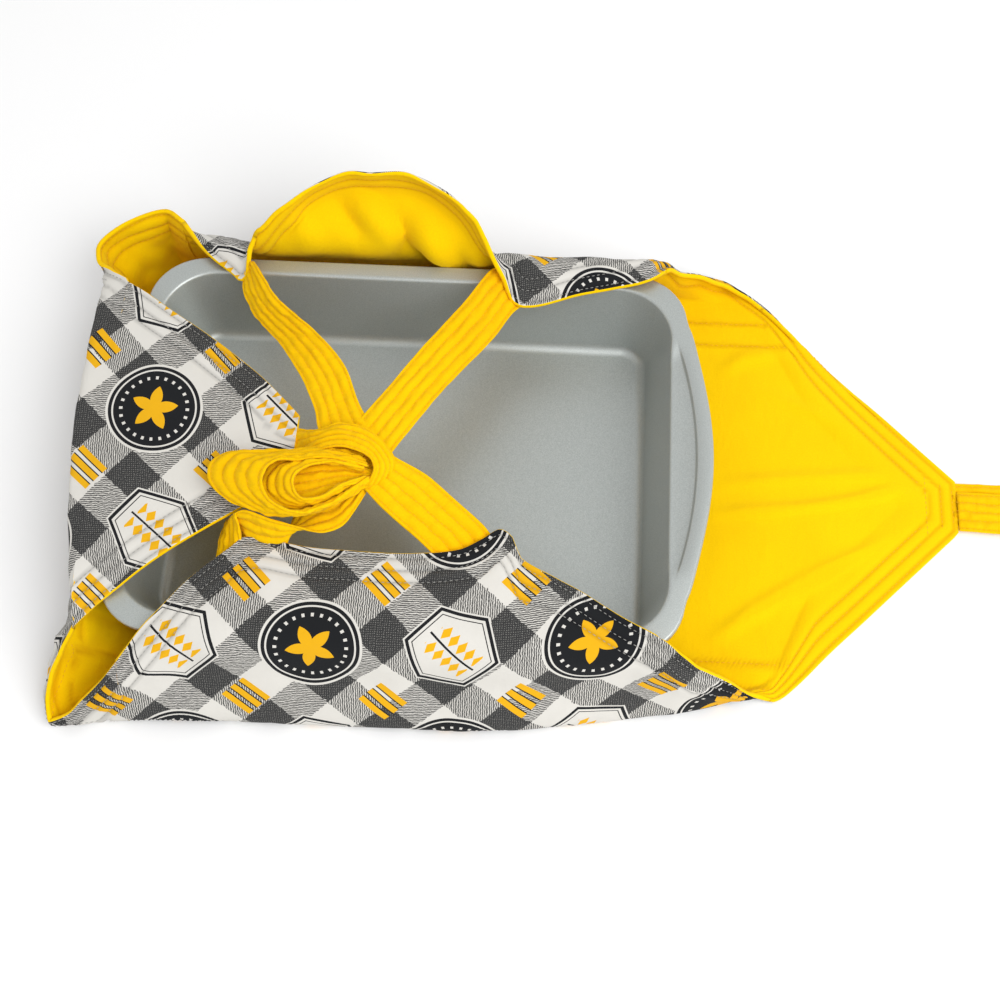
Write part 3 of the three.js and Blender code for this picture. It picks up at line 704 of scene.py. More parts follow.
def printed_cotton():
    """Off-white cotton printed with a hatched check and plain badges: starred roundels, sprigged hexagons;
    painted shade darkens it along the stitch rows.
    """
    band = 25
    period = 118
    roundel = 28
    hexagon = 25
    star_shift = (0.19, 0.33)
    sprig_shift = (0.69, 0.83)
    stroke_pitch = 1.35
    stroke_share = 0.19
    wobble_reach = 3.2
    star_tip = 15.5
    star_waist = 6
    bead_ring = (20.2, 22.4)
    beads_around = 24
    leaf_step = 6.5
    leaf_size = 2.8
    bar_half = 11
    bar_pitch = 4
    finish = {"Base Color": linear(236, 233, 226), "Roughness": 0.85, "Specular IOR Level": 0.25}
    material, tree, shader = new_material("printed_cotton", finish)
    where = add_node(tree, "ShaderNodeUVMap", uv_map="flat_cut").outputs["UV"]

    def calc(operation, *values):
        return add_node(tree, "ShaderNodeMath", dict(enumerate(values)), operation=operation).outputs[0]

    def times(one, two):
        return calc("MULTIPLY", one, two)

    def plus(one, two):
        return calc("ADD", one, two)

    def below(value, limit):
        return calc("LESS_THAN", value, limit)

    def above(value, limit):
        return calc("GREATER_THAN", value, limit)

    def pingpong(value, reach):
        return calc("PINGPONG", value, reach)

    def off(value):
        return calc("ABSOLUTE", value)

    def paint(under, colour, mask):
        return mixed(tree, mask, under, colour)

    def within(value, low, high):
        return times(above(value, low), below(value, high))

    # Places on the flat cloth in millimetres, and along its two diagonals, on which the print is set
    axes = add_node(tree, "ShaderNodeSeparateXYZ", {0: where})
    length = times(axes.outputs[0], 1000)
    width = times(axes.outputs[1], 1000)
    wobble = grain(tree, where, 420, 2)
    shake = calc("MULTIPLY_ADD", wobble, wobble_reach, -wobble_reach / 2)
    rise = times(plus(length, width), math.sqrt(0.5))
    fall = times(calc("SUBTRACT", length, width), math.sqrt(0.5))

    def banded(value):
        return above(pingpong(plus(value, shake), band), band / 2)

    def strokes(value, pitch):
        bent = plus(value, times(shake, 0.55))
        return above(pingpong(bent, pitch / 2), pitch * stroke_share)

    ink = linear(22, 24, 27)
    paper = linear(218, 215, 208)
    gold = linear(232, 174, 14)
    rising = banded(rise)
    falling = banded(fall)
    hatch = times(rising, strokes(width, stroke_pitch))
    cross = times(falling, strokes(length, stroke_pitch))
    colour = paint(paper, ink, times(calc("MAXIMUM", hatch, cross), 0.86))
    colour = paint(colour, ink, times(times(rising, falling), 0.72))

    def local(value, shift):
        share = calc("FRACT", plus(calc("DIVIDE", value, period), shift))
        return times(calc("SUBTRACT", share, 0.5), period)

    star_rise = local(rise, star_shift[0])
    star_fall = local(fall, star_shift[1])
    far = calc("SQRT", plus(times(star_rise, star_rise), times(star_fall, star_fall)))
    turn = times(calc("ARCTAN2", star_rise, star_fall), 5 / (2 * math.pi))
    point = times(pingpong(turn, 0.5), 2)
    star_edge = calc("MULTIPLY_ADD", point, star_waist - star_tip, star_tip)
    beads = pingpong(times(turn, beads_around / 5), 0.5)
    colour = paint(colour, paper, below(far, roundel + 3))
    colour = paint(colour, ink, below(far, roundel + 1.4))
    colour = paint(colour, paper, within(far, roundel - 1.9, roundel - 0.8))
    colour = paint(colour, paper, times(within(far, *bead_ring), below(beads, 0.16)))
    colour = paint(colour, gold, below(far, star_edge))

    sprig_rise = local(rise, sprig_shift[0])
    sprig_fall = local(fall, sprig_shift[1])
    side = off(sprig_rise)
    slope = plus(times(side, 0.5), times(off(sprig_fall), 0.866))
    frame_out = calc("MAXIMUM", side, slope)
    colour = paint(colour, paper, below(frame_out, hexagon + 1))
    colour = paint(colour, ink, within(frame_out, hexagon - 2, hexagon))
    colour = paint(colour, ink, within(frame_out, hexagon - 4.2, hexagon - 3.6))
    leaf_place = calc("SUBTRACT", pingpong(plus(sprig_rise, 60), leaf_step), 3.2)
    leaf_reach = off(calc("SUBTRACT", off(sprig_fall), leaf_step))
    leaf = plus(off(leaf_place), times(leaf_reach, 0.55))
    leaves = times(below(leaf, leaf_size), below(side, 15.5))
    colour = paint(colour, gold, leaves)
    stem = times(below(off(sprig_fall), 0.7), below(side, 18))
    colour = paint(colour, ink, stem)

    for first, second in ((sprig_shift[0], star_shift[1]), (star_shift[0], sprig_shift[1])):
        bar_rise = local(rise, first)
        bar_fall = local(fall, second)
        bar = pingpong(plus(bar_fall, 60), bar_pitch)
        bar_width = calc("MAXIMUM", off(bar_rise), times(off(bar_fall), 1.1))
        inside_bar = below(bar_width, bar_half)
        colour = paint(colour, ink, times(inside_bar, above(bar, 1.1)))
        colour = paint(colour, gold, times(inside_bar, above(bar, 1.9)))

    # Random fade of the print, and painted shade along the stitch rows, where the seam marks darken it by up
    # to three tenths.
    fade = grain(tree, where, 30, 3)
    seam = add_node(tree, "ShaderNodeAttribute", attribute_name="seam").outputs["Fac"]
    aged = calc("MULTIPLY_ADD", fade, 0.16, 0.9)
    deeper_tone = times(aged, calc("MULTIPLY_ADD", seam, -0.3, 1.0))
    links = {0: 1.0, 6: colour, 7: deeper_tone}
    shaded = add_node(tree, "ShaderNodeMix", links, data_type="RGBA", blend_type="MULTIPLY")
    tree.links.new(shaded.outputs[2], shader.inputs["Base Color"])
    weave_bump(tree, shader, where, 0.55, 0.22, 0.5)
    return material


lining = yellow_cotton("yellow_lining", linear(252, 209, 0), linear(247, 199, 0), 0.55, 0.6, 0.42)
print_cloth = printed_cotton()


def sewing(name, lines, thread, length=2.4, gap=1.0, radius=0.3):
    """Rows of stitches along lines in millimetres, as one mesh of short threads."""
    rows = [np.asarray(line) * MM for line in lines]
    points = np.vstack(rows)
    edges = []
    start = 0
    for row in rows:
        edges += [(start + k, start + k + 1) for k in range(len(row) - 1)]
        start += len(row)
    mesh = bpy.data.meshes.new(name)
    mesh.from_pydata(points.tolist(), edges, [])
    piece = bpy.data.objects.new(name, mesh)
    scene.collection.objects.link(piece)
    tree = bpy.data.node_groups.new(name + "_rows", "GeometryNodeTree")
    sockets = {}
    tree.interface.new_socket("Geometry", in_out="INPUT", socket_type="NodeSocketGeometry")
    for label in ("Stitch length", "Stitch gap", "Thread radius"):
        made = tree.interface.new_socket(label, in_out="INPUT", socket_type="NodeSocketFloat")
        sockets[label] = made.identifier
    tree.interface.new_socket("Geometry", in_out="OUTPUT", socket_type="NodeSocketGeometry")
    given = tree.nodes.new("NodeGroupInput")
    links = {0: given.outputs["Stitch length"], 1: given.outputs["Stitch gap"]}
    pitch = add_node(tree, "ShaderNodeMath", links)
    half = add_node(tree, "ShaderNodeMath", {0: given.outputs["Stitch length"], 1: 0.5}, operation="MULTIPLY")
    path = add_node(tree, "GeometryNodeMeshToCurve", {"Mesh": given.outputs["Geometry"]})
    links = {"Curve": path.outputs["Curve"], "Length": pitch.outputs[0]}
    even = add_node(tree, "GeometryNodeResampleCurve", links, mode="LENGTH")
    bead = add_node(tree, "GeometryNodeMeshIcoSphere", {"Radius": 1.0, "Subdivisions": 1})
    tangent = add_node(tree, "GeometryNodeInputTangent")
    turn = add_node(tree, "FunctionNodeAlignRotationToVector", {"Vector": tangent.outputs[0]}, axis="X")
    links = {"X": half.outputs[0], "Y": given.outputs["Thread radius"], "Z": given.outputs["Thread radius"]}
    size = add_node(tree, "ShaderNodeCombineXYZ", links)
    links = {"Points": even.outputs[0], "Instance": bead.outputs["Mesh"], "Rotation": turn.outputs[0]}
    copies = add_node(tree, "GeometryNodeInstanceOnPoints", {**links, "Scale": size.outputs[0]})
    real = add_node(tree, "GeometryNodeRealizeInstances", {"Geometry": copies.outputs["Instances"]})
    dyed = add_node(tree, "GeometryNodeSetMaterial", {"Geometry": real.outputs[0], "Material": thread})
    add_node(tree, "NodeGroupOutput", {"Geometry": dyed.outputs[0]})
    rows_of = piece.modifiers.new("rows", "NODES")
    rows_of.node_group = tree
    rows_of[sockets["Stitch length"]] = length * MM
    rows_of[sockets["Stitch gap"]] = gap * MM
    rows_of[sockets["Thread radius"]] = radius * MM
    made = bpy.data.meshes.new_from_object(piece.evaluated_get(bpy.context.evaluated_depsgraph_get()))
    piece.modifiers.remove(rows_of)
    piece.data = made
    made.name = name
    made.shade_smooth()
    return piece


def thread_of(name, dark, light):
    """Twisted sewing thread between two colours."""
    material, tree, shader = new_material(name, {"Base Color": light, "Roughness": 0.6})
    place = add_node(tree, "ShaderNodeTexCoord").outputs["Object"]
    ply = add_node(tree, "ShaderNodeTexWave", {"Vector": place, "Scale": 900, "Distortion": 2})
    tree.links.new(mixed(tree, ply.outputs["Fac"], dark, light), shader.inputs["Base Color"])
    tree.links.new(pressed(tree, ply.outputs["Fac"], 0.4, 0.0001), shader.inputs["Normal"])
    return material


yellow_thread = thread_of("yellow_thread", linear(230, 166, 0), linear(250, 196, 6))
pale_thread = thread_of("pale_thread", linear(142, 141, 137), linear(172, 170, 165))


def sew(name, print_rows, lining_rows, place):
    """Stitches on both faces of a panel: pale thread in the print, yellow in the lining."""
    for ending, rows, thread in (("print", print_rows, pale_thread), ("lining", lining_rows, yellow_thread)):
        stitches = sewing(f"{name}_{ending}_sewing", rows, thread)
        place(stitches)


def on_carrier(piece):
    """Rides a piece on the part of the cloth that stays on the pan."""
    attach(piece, "carrier")


columns = np.linspace(-crease_x, fold_x, 1 + round((crease_x + fold_x) / column_step))
arch_columns = [np.linspace(-119, -104, 13), np.linspace(44, 72, 15)]
open_columns = [np.linspace(fold_x, tip_fold, 25), np.linspace(tip_fold, tip_end, 51)]
columns = np.unique(np.concatenate([columns, *arch_columns, *open_columns]).round(3))
face, flat, hem = across_columns(columns, 130)
hem = np.minimum(hem, tip_end - columns[:, None] + 0.9)
body_waves = [(46, 2, 1.5), (17, 5, 0.4)]
laid_rise = 0.8
ripple = ripples(face, body_waves)
grounded = ramp(face[:, :, 2], 4, 20)
laid = laid_rise + waves(face, 52, 6, (0.6, 1.2, 1)) * 1.1 + waves(face, 19, 7) * 0.4
open_end_folds = [
    ([(196, -12), (240, -8), (304, 5), (336, 18)], 6.5, 4),
    ([(200, 8), (240, 14), (300, 20), (336, 22)], 4.5, 5),
    ([(205, 92), (225, 106), (246, 108)], 5, 4.5),
    ([(225, 84), (290, 56), (322, 38)], 5, 5),
    ([(198, -100), (240, -70), (300, -30)], 6, 5),
    ([(240, -80), (286, -44), (326, -18)], 5, 4.5),
    ([(206, -119), (248, -120)], 4, 4),
]
laid = with_folds(laid, flat, open_end_folds)
arch_folds = [
    ([(-90, 254), (-66, 222)], 4.5, 8),
    ([(-60, 258), (-34, 232)], -6, 7),
    ([(-48, 264), (-12, 230)], 5.5, 7),
    ([(-30, 264), (-10, 234), (-18, 210)], -7, 7),
    ([(-2, 252), (12, 224), (30, 203)], 7.5, 7),
    ([(-12, 230), (8, 212), (22, 203)], -8, 7),
    ([(34, 232), (44, 212)], 4, 7),
]
stand = with_folds(np.zeros(hem.shape), flat, arch_folds)
deepest_sag = 2.6
crest_height = 4.5
slack_end = ramp(columns, fold_x, 30)[:, None] * ramp(hem, 20, 18) ** 2
sag = deepest_sag * (1 - ramp(laid, 0, crest_height)) * slack_end * (1 - ramp(face[:, :, 2], 0, 10))
face = face + facing(face, 1) * (ripple * grounded + stand)[:, :, None]
inward = facing(face, 1)
cut_here = [0, int(np.searchsorted(columns, fold_x)), int(np.searchsorted(columns, tip_fold))]
body_part = slice(0, cut_here[1] + 1)
cut = np.zeros(hem.shape, bool)
cut[cut_here] = True
cloth = (face, flat, hem, inward, sag)
body_cloth, outer, inner = quilt(
    "base_front_and_back_cloth", *[grid[body_part] for grid in cloth[:4]], 1, cut[body_part])
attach(body_cloth, "carrier")
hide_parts(*plies("base"), *plies("front_flap"), *plies("back_flap"))
hem_index = [hem_lines.index(row) for row in stitch_rows]
both_sides = hem_index + [-1 - k for k in hem_index]
sew("base_front_and_back", [outer[:, k] for k in both_sides], [inner[:, k] for k in both_sides], on_carrier)
open_parts = [slice(cut_here[1], cut_here[2] + 1), slice(cut_here[2], None)]

# Left wall and ears: the same quilted square, carried on round the pan's left end.
# It leans out from the base to the pan's grip; at each corner the loose cloth stands as an ear.
ear_slope = 1.21
split_x = 190
seam_lines = (114, 131)
seam_reach = 1.5
past_hem = stitch_rows[-1] + 1


def ear_foot(y):
    """How far out the wall's foot lies: on the base's crease, or on the ear's slanting one."""
    return crease_x + max(0, -y - crease_y) / ear_slope


def wall_line(y, ridge, edge):
    """Section of the left wall: up from the base in a slack lean to the grip, then in over it."""
    foot = ear_foot(y)
    shares = [(0, 0), (0.3, 0.2), (0.5, 0.37), (0.72, 0.58)]
    line = [(-(foot + (ridge[0] - foot) * out), y, ridge[1] * up) for out, up in shares]
    return line + [(-ridge[0], y, ridge[1]), (-edge[0], y, edge[1])]


def ear_front(x, toe, ridge, edge):
    """Section of the front left ear, with its foot on the slanting crease."""
    return flap_line(x, -1, crease_y + ear_slope * (-x - crease_x), toe, ridge, edge)


# Sections round the pan's left end, front to back: a flap's, a wall's, or a standing corner's own points
side_sections = [
    ear_front(-160, *front_sections[0][1:]),
    ear_front(-173, (173.4, 5), (168.5, 26), (159, 39.5)),
    ear_front(-186, (175.4, 4.5), (174.5, 16), (167.5, 26.5)),
    ear_front(-196, (176.8, 3.5), (178, 10.5), (174.3, 17.5)),
    [(-204.5, -172, 0), (-205.3, -174.3, 0.5), (-206.4, -176.5, 2.2),
     (-207.6, -178, 4.8), (-208.4, -178.4, 8), (-208.6, -177.8, 11.5)],
    wall_line(-165.5, (213, 11), (211, 18.5)),
    wall_line(-152, (211.5, 19.5), (208, 29)),
    wall_line(-140.5, (207.5, 31), (200.5, 41)),
    wall_line(-124, (200, 46), (split_x, 58.5)),
    wall_line(-108, (195.5, 57.5), (split_x, 66.8)),
    wall_line(-84, (197.5, 64.5), (split_x, 69.8)),
    wall_line(-48, (202.5, 67), (split_x, over)),
    wall_line(-12, (206, 67.6), (split_x, over)),
    wall_line(40, (207.5, 67.7), (split_x, over)),
    wall_line(85.5, (207, 67.2), (split_x, over)),
    wall_line(104.5, (208.5, 64.2), (split_x, 69.9)),
    wall_line(113.5, (211, 59.5), (203, 66.2)),
    [(-162, 121.5, 0), (-184, 123, 0), (-195, 123.5, 3),
     (-205, 123.5, 24), (-213, 123.5, 47), (-216.5, 123.5, 60.2)],
    [(-162, 122.5, 0), (-186, 128, 0), (-197.5, 130.6, 4),
     (-205, 131.5, 22), (-214, 133, 42), (-219, 134.5, 60.5)],
    [(-162, 124, 0), (-178, 135, 0), (-187, 141, 4),
     (-193, 146, 22), (-199, 151, 44), (-202, 154.5, 63)],
    [(-164, 126, 0), (-173, 146, 0), (-176, 162, 5),
     (-176, 163.5, 24), (-175.8, 165, 44), (-175.5, 166, 64)],
    flap_line(-160, 1, crease_y, *back_sections[0][1:]),
]
# Which way each section lies on the flat square
ear_turns = [(0, -1)] * 3 + [(-0.3, -0.95), (-0.64, -0.77), (-0.85, -0.5), (-0.95, -0.3), (-0.99, -0.1)]
ear_turns += [(-1, 0)] * 9 + [(-0.98, 0.2), (-0.9, 0.42), (-0.66, 0.75), (-0.25, 0.97), (0, 1)]
side_controls = np.array(side_sections, float)
hips = side_controls[:, 2:5].mean(axis=1)
side_keys = way_along(hips)
side_columns = np.linspace(0, side_keys[-1], 1 + round(side_keys[-1] / column_step))
side_shapes = steady(side_keys, side_controls, side_columns)
side_lines = [curve_through(controls, fine)[::-1] for controls in side_shapes]
side_edge = np.array([line[0] for line in side_lines])
side_slant = edge_slant(side_edge, np.array([spaced(line, [slant_depth])[0] for line in side_lines]))
outward = steady(side_keys, ear_turns, side_columns)
face = []
flat = []
for line, slant, (du, dv) in zip(side_lines, side_slant, outward):
    total = length_of(line)
    near = np.array(hem_lines) * min(slant, 0.6 * total / hem_lines[-1])
    places = np.concatenate([near, np.linspace(near[-1], total, 26)[1:]])
    face.append(spaced(line, places))
    flat.append(np.stack([line[-1][0] + du * (total - places), line[-1][1] + dv * (total - places)], axis=1))
face = np.array(face)
flat = np.array(flat)


def seam_marks(face, hem):
    """How near each point lies to a seam row of the base, where it runs out across the ears and open end."""
    gaps = np.abs(np.abs(face[:, :, 1])[:, :, None] - np.array(seam_lines)).min(axis=2)
    return np.exp(-((gaps / seam_reach) ** 2)) * (hem > past_hem)


def close_points(line, gap):
    """The same line with a point every gap."""
    return spaced(line, np.arange(0, length_of(line), gap))


def edge_distance(points, edge):
    """Distance from each point of a grid to the nearest point of an edge line."""
    found = np.empty(points.shape[:2])
    for i, column in enumerate(points):
        found[i] = np.linalg.norm(column[:, None] - edge[None], axis=2).min(axis=1)
    return found


# Outline of the left flap, whose hems run on along the wall: place, front edge, back edge, rise
flap_edges = [
    (-190, -129.5, 104.5, 0),
    (-178, -119.5, 97.5, 0.3),
    (-164, -107.2, 88, 0.6),
    (-152, -96, 80, 0.9),
    (-133, -80, 67.5, 1.1),
    (-113, -65, 53, 1.3),
    (-93, -51, 37.5, 1.6),
    (-66, -30, 12, 1.8),
]
flap_points = 200
flap_swell = 0.8
flap_step = 2.5
free_front = side_edge[:, 1] < flap_edges[0][1]
free_back = (side_edge[:, 1] > flap_edges[0][2]) & (side_edge[:, 0] < -158)
wall = ~free_front & ~free_back & (side_edge[:, 0] < -188)
flap_places = np.linspace(-split_x, flap_edges[-1][0], 1 + round((split_x + flap_edges[-1][0]) / flap_step))
flap_shape = steady([e[0] for e in flap_edges], [e[1:] for e in flap_edges], flap_places)
flap_face = []
for x, (front_y, back_y, rise) in zip(flap_places, flap_shape):
    y = np.linspace(front_y, back_y, flap_points)
    share = (y - front_y) / (back_y - front_y) * 2 - 1
    swell = flap_swell * (1 - share**2) * min(1, (x + split_x) / 20)
    z = np.interp(y, side_edge[wall, 1], side_edge[wall, 2]) + rise + swell
    flap_face.append(np.stack([np.full(flap_points, x), y, z], axis=1))
flap_low_edge = np.array([line[0] for line in flap_face])
flap_high_edge = np.array([line[-1] for line in flap_face])
free_lines = (side_edge[free_front], side_edge[free_back], flap_low_edge, flap_high_edge)
free_edge = np.vstack([close_points(line, 0.6) for line in free_lines])
hem = edge_distance(face, free_edge)
hold_run = 8
split_run = 14
end_run = 20
ripple = ripples(face, [(40, 3, 1.3), (15, 8, 0.5)])
ripple = ripple + ripples(face, [(13, 12, 1.7)]) * ramp(np.abs(face[:, :, 1]), 106, 14)
grounded = ramp(face[:, :, 2], 3, 15)
seam_hold = ramp(hem, 0, hold_run)
split_hold = ramp(np.abs(face[:, :, 0] + split_x) + np.abs(face[:, :, 2] - over), 0, split_run)
end_hold = ramp(np.minimum(side_columns, side_columns[-1] - side_columns), 0, end_run)[:, None]
body_ripple = ripples(face, body_waves)
shift = (ripple * seam_hold * split_hold * end_hold + body_ripple * (1 - end_hold)) * grounded
face = face + facing(face, -1) * shift[:, :, None]
cut = np.zeros(hem.shape, bool)
cut[[0, -1]] = True
cut[:, -1] = True
cut[wall, 0] = True
side_cloth, outer, inner = quilt(
    "left_wall_and_ears_cloth", face, flat, hem, facing(face, -1), -1, cut, seam_marks(face, hem))
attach(side_cloth, "carrier")
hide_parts(*plies("left_wall"), *plies("back_left_ear"))
side_rows = []
for layer in (outer, inner):
    side_rows.append([layer[run, k] for run in (free_front, free_back) for k in hem_index])
sew("left_wall_and_ears", *side_rows, on_carrier)

# Left flap: the square's left corner, folded in over the pan as far as the knot.
# Its printed side is up; both free edges have the same rolled edge and three sewn rows.
middle_rows = 46
slant_step = 20
under_knot = 12
face = []
flat = []
low_slant = edge_slant(flap_low_edge, np.array([line[slant_step] for line in flap_face]))
high_slant = edge_slant(flap_high_edge, np.array([line[-slant_step] for line in flap_face]))
wall_length = np.array([length_of(line) for line in side_lines])
for line, low, high in zip(flap_face, low_slant, high_slant):
    points = spaced(line, hem_places(length_of(line), low, high, middle_rows))
    face.append(points)
    run = crease_x + np.interp(points[:, 1], side_edge[wall, 1], wall_length[wall]) + points[:, 0] + split_x
    flat.append(np.stack([-run, points[:, 1]], axis=1))
face = np.array(face)
flat = np.array(flat)
hem = edge_distance(face, free_edge)
held = ramp(face[:, :, 0], -split_x, split_run) * ramp(hem, 0, hold_run)
ripple = ripples(face, [(44, 4, 1.1), (16, 9, 0.35)])
face = face + facing(face, -1) * (ripple * held)[:, :, None]
cut = np.zeros(hem.shape, bool)
cut[0] = True
left_flap, outer, inner = quilt("left_flap_cloth", face, flat, hem, facing(face, -1), -1, cut)


def on_left_fold(piece):
    """Bakes a piece's place into its mesh."""
    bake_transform(piece)


on_left_fold(left_flap)
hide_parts(*plies("left_flap"))
flap_rows = [[layer[:-under_knot, k] for k in both_sides] for layer in (outer, inner)]
sew("left_flap", *flap_rows, on_left_fold)

# Open end: the square's right corner, lying flat on the table with its yellow lining up.
# Seam rows where the base folds cross it, and its two free edges are hemmed like the rest.
def seam_threads(inner, hem):
    """Lines of the seam rows on the lining, as far as the hem."""
    lines = []
    for y in [side * seam for side in (-1, 1) for seam in seam_lines]:
        line = []
        for column, edge in zip(inner, hem):
            if np.interp(y, column[:, 1], edge) > past_hem:
                line.append([np.interp(y, column[:, 1], column[:, n]) for n in range(3)])
        if len(line) > 3:
            lines.append(np.array(line))
    return lines


def on_end_fold(piece):
    """Bakes a piece's place into its mesh."""
    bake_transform(piece)


end_face, end_flat, end_hem, end_inward, end_sag = [grid[open_parts[0]] for grid in cloth]
end_cut = np.zeros(end_hem.shape, bool)
end_cut[[0, -1]] = True
open_end, outer, inner = quilt(
    "open_end_cloth", end_face, end_flat, end_hem, end_inward, 1, end_cut,
    seam_marks(end_face, end_hem), end_sag)
on_end_fold(open_end)
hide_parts(*plies("right_wall"))
end_rows = [inner[:, k] for k in both_sides] + seam_threads(inner, end_hem)
sew("open_end", [outer[:, k] for k in both_sides], end_rows, on_end_fold)

# Open tip: the last of the same corner, cut off short where its tie is sewn in.
# The hem rows turn across its end.
tip_face, tip_flat, tip_hem, tip_inward, tip_sag = [grid[open_parts[1]] for grid in cloth]
tip_cut = np.zeros(tip_hem.shape, bool)
tip_cut[0] = True
open_tip, outer, inner = quilt(
    "open_tip_cloth", tip_face, tip_flat, tip_hem, tip_inward, 1, tip_cut,
    seam_marks(tip_face, tip_hem), tip_sag)


def on_tip_fold(piece):
    """Bakes a piece's place into its mesh."""
    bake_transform(piece)


on_tip_fold(open_tip)
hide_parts(*plies("right_tip"))
tip_columns = tip_flat[:, 0, 0]
turn_back = int(np.argmax(tip_columns > tip_end - stitch_rows[-1] - 4))
across_tip = [int(np.argmin(np.abs(tip_columns - (tip_end - row)))) for row in stitch_rows]
tip_rows = []
for layer in (outer, inner):
    tip_rows.append([layer[:turn_back, k] for k in both_sides] + [layer[k, 12:-12] for k in across_tip])
sew("open_tip", tip_rows[0], tip_rows[1] + seam_threads(inner, tip_hem), on_tip_fold)

# Straps of the back edge: padded yellow cotton in sewn channels, from each end of the arch to the knot.
# The left one stands nearly on edge where it leaves the cloth and turns flat at the knot.
# The right one lies flat.
strap_step = 1.6
strap_half = 18
lane_places = (0, 0.9, 2.9, 4.85, 6.85, 7.75, 8.65, 10.6, 12.6, 14.6, 15.5, 16.4, 17.5, 18)
lane_seams = (0, 7.75, 15.5)
seam_line = 0.7
seam_dip = 1.3
sewn_half = 0.35
padding_half = 1.3
edge_power = 14
lane_spread = 60
pucker_size = 5.2
pucker_depth = 0.95
crumple_size = 13
crumple_height = 0.8
wander_size = 7
wander_share = 0.03
pucker_stretch = (1, 0.4, 1)
wander_stretch = (1, 0.2, 1)
strap_cotton = yellow_cotton("strap_cotton", linear(250, 201, 0), linear(245, 190, 0), 0.55, 2.2, 0.32)


def strap(name, first_edge, second_edge, seed):
    """A padded strap between two edge lines, puckered along its seams, and the lines of its stitches."""
    close = np.linspace(0, 1, 500)
    one = curve_through(first_edge, close)
    two = curve_through(second_edge, close)
    middle = (one + two) / 2
    way = way_along(middle)
    count = max(8, round(way[-1] / strap_step))
    at = np.linspace(0, way[-1], count + 1)
    middle = spaced(middle, at)
    half = np.stack([np.interp(at, way, (two - one)[:, n] / 2) for n in range(3)], axis=1)
    square = np.cross(np.gradient(middle, axis=0), half)
    square /= np.linalg.norm(square, axis=1)[:, None]
    wide = np.linalg.norm(half, axis=1)
    lanes = np.array([-place for place in lane_places[:0:-1]] + list(lane_places))
    gap = np.abs(np.abs(lanes)[:, None] - np.array(lane_seams)).min(axis=1)
    seam = np.exp(-((gap / seam_line) ** 2))
    puff = 1 - np.exp(-((gap / seam_dip) ** 2))
    lanes = lanes / strap_half
    rounded = np.sqrt(np.clip(1 - np.abs(lanes) ** edge_power, 0, 1)) * 0.9 + 0.1
    along, across = np.meshgrid(at, lanes * lane_spread, indexing="ij")
    places = np.stack([along, across, np.zeros(along.shape)], axis=2)
    pucker = waves(places, pucker_size, seed, pucker_stretch)
    crumple = waves(places, crumple_size, seed + 20, pucker_stretch) * crumple_height
    drift = waves(places, wander_size, seed + 40, wander_stretch) * wander_share
    wander = lanes[None] + drift * (1 - lanes**2)
    spread_out = middle[:, None] + half[:, None] * wander[:, :, None]
    spread_out = spread_out + square[:, None] * crumple[:, :, None]
    thick = (sewn_half + (padding_half + pucker_depth * pucker) * puff) * rounded
    top = spread_out + square[:, None] * thick[:, :, None]
    bottom = spread_out - square[:, None] * thick[:, :, None]
    loops = np.concatenate([top, bottom[:, -2:0:-1]], axis=1)
    ring = loops.shape[1]
    k = np.arange((count + 1) * ring).reshape(count + 1, ring)
    follow = np.roll(k, -1, axis=1)
    quads = np.stack([k[:-1], k[1:], follow[1:], follow[:-1]], axis=-1).reshape(-1, 4)
    faces = [tuple(q) for q in quads] + [tuple(k[0]), tuple(k[-1][::-1])]
    points = loops.reshape(-1, 3)
    one, two, three = (points[quads[:, n]] for n in range(3))
    if (one * np.cross(two, three)).sum() < 0:
        faces = [f[::-1] for f in faces]
    piece = new_object(name, points, faces, [strap_cotton])
    across = np.concatenate([lanes, lanes[-2:0:-1]])
    cut = np.stack([np.broadcast_to(at[:, None], (count + 1, ring)), wide[:, None] * across], axis=2)
    add_cut_map(piece, cut.reshape(-1, 2))
    # Seam marks, by which the strap's cotton is darkened with painted shade along its sewn channels.
    marks = np.concatenate([seam, seam[-2:0:-1]])
    add_marks(piece, "seam", "FLOAT", "POINT", np.tile(marks, count + 1))
    threads = []
    for n in np.flatnonzero(gap == 0):
        threads += [top[:, n], bottom[:, n]]
    return piece, threads


def sewn_strap(name, first_edge, second_edge, seed, bodies, bend=None):
    """A strap and its stitches, riding on one body, or with their places baked into their meshes where a bend
    is given.
    """
    piece, threads = strap(name, first_edge, second_edge, seed)
    stitches = sewing(name + "_sewing", threads, yellow_thread, radius=0.22)
    for made in (piece, stitches):
        if bend:
            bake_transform(made)
        else:
            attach(made, bodies)
    return piece


back_bend = ((0, 0.108, 0.07), (0, 0.082, 0.07))
back_left = sewn_strap(
    "back_left_strap_cloth",
    [(-113, 118, 66), (-115, 111, 66.5), (-106.5, 88, 67.5), (-85, 62.8, 70.5), (-67.5, 37.5, 74),
     (-55.7, 13, 77), (-52, 0, 78), (-44, -14, 79)],
    [(-107, 119, 77), (-101, 109, 83), (-85.5, 86, 86), (-58.4, 63.6, 85), (-38.9, 41.9, 83),
     (-27.3, 16.4, 81), (-22, 8, 81), (-14, -2, 81)],
    11, ("carrier", "back_handle"), back_bend)
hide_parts("back_left_strap")
back_right = sewn_strap(
    "back_right_strap_cloth",
    [(54, 130, 66), (47.8, 124.1, 71), (33.3, 98.5, 75), (4.7, 55.4, 77.5), (-13.5, 25.8, 80),
     (-23.8, 8.9, 82), (-36, -8, 81.5)],
    [(76, 106, 62), (65.5, 96.1, 67.5), (52, 71.5, 71.5), (27, 36, 76), (12, 12, 78.5),
     (-1, -10, 80.5), (-15, -33, 80)],
    12, ("carrier", "back_handle"), back_bend)
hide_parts("back_right_strap")

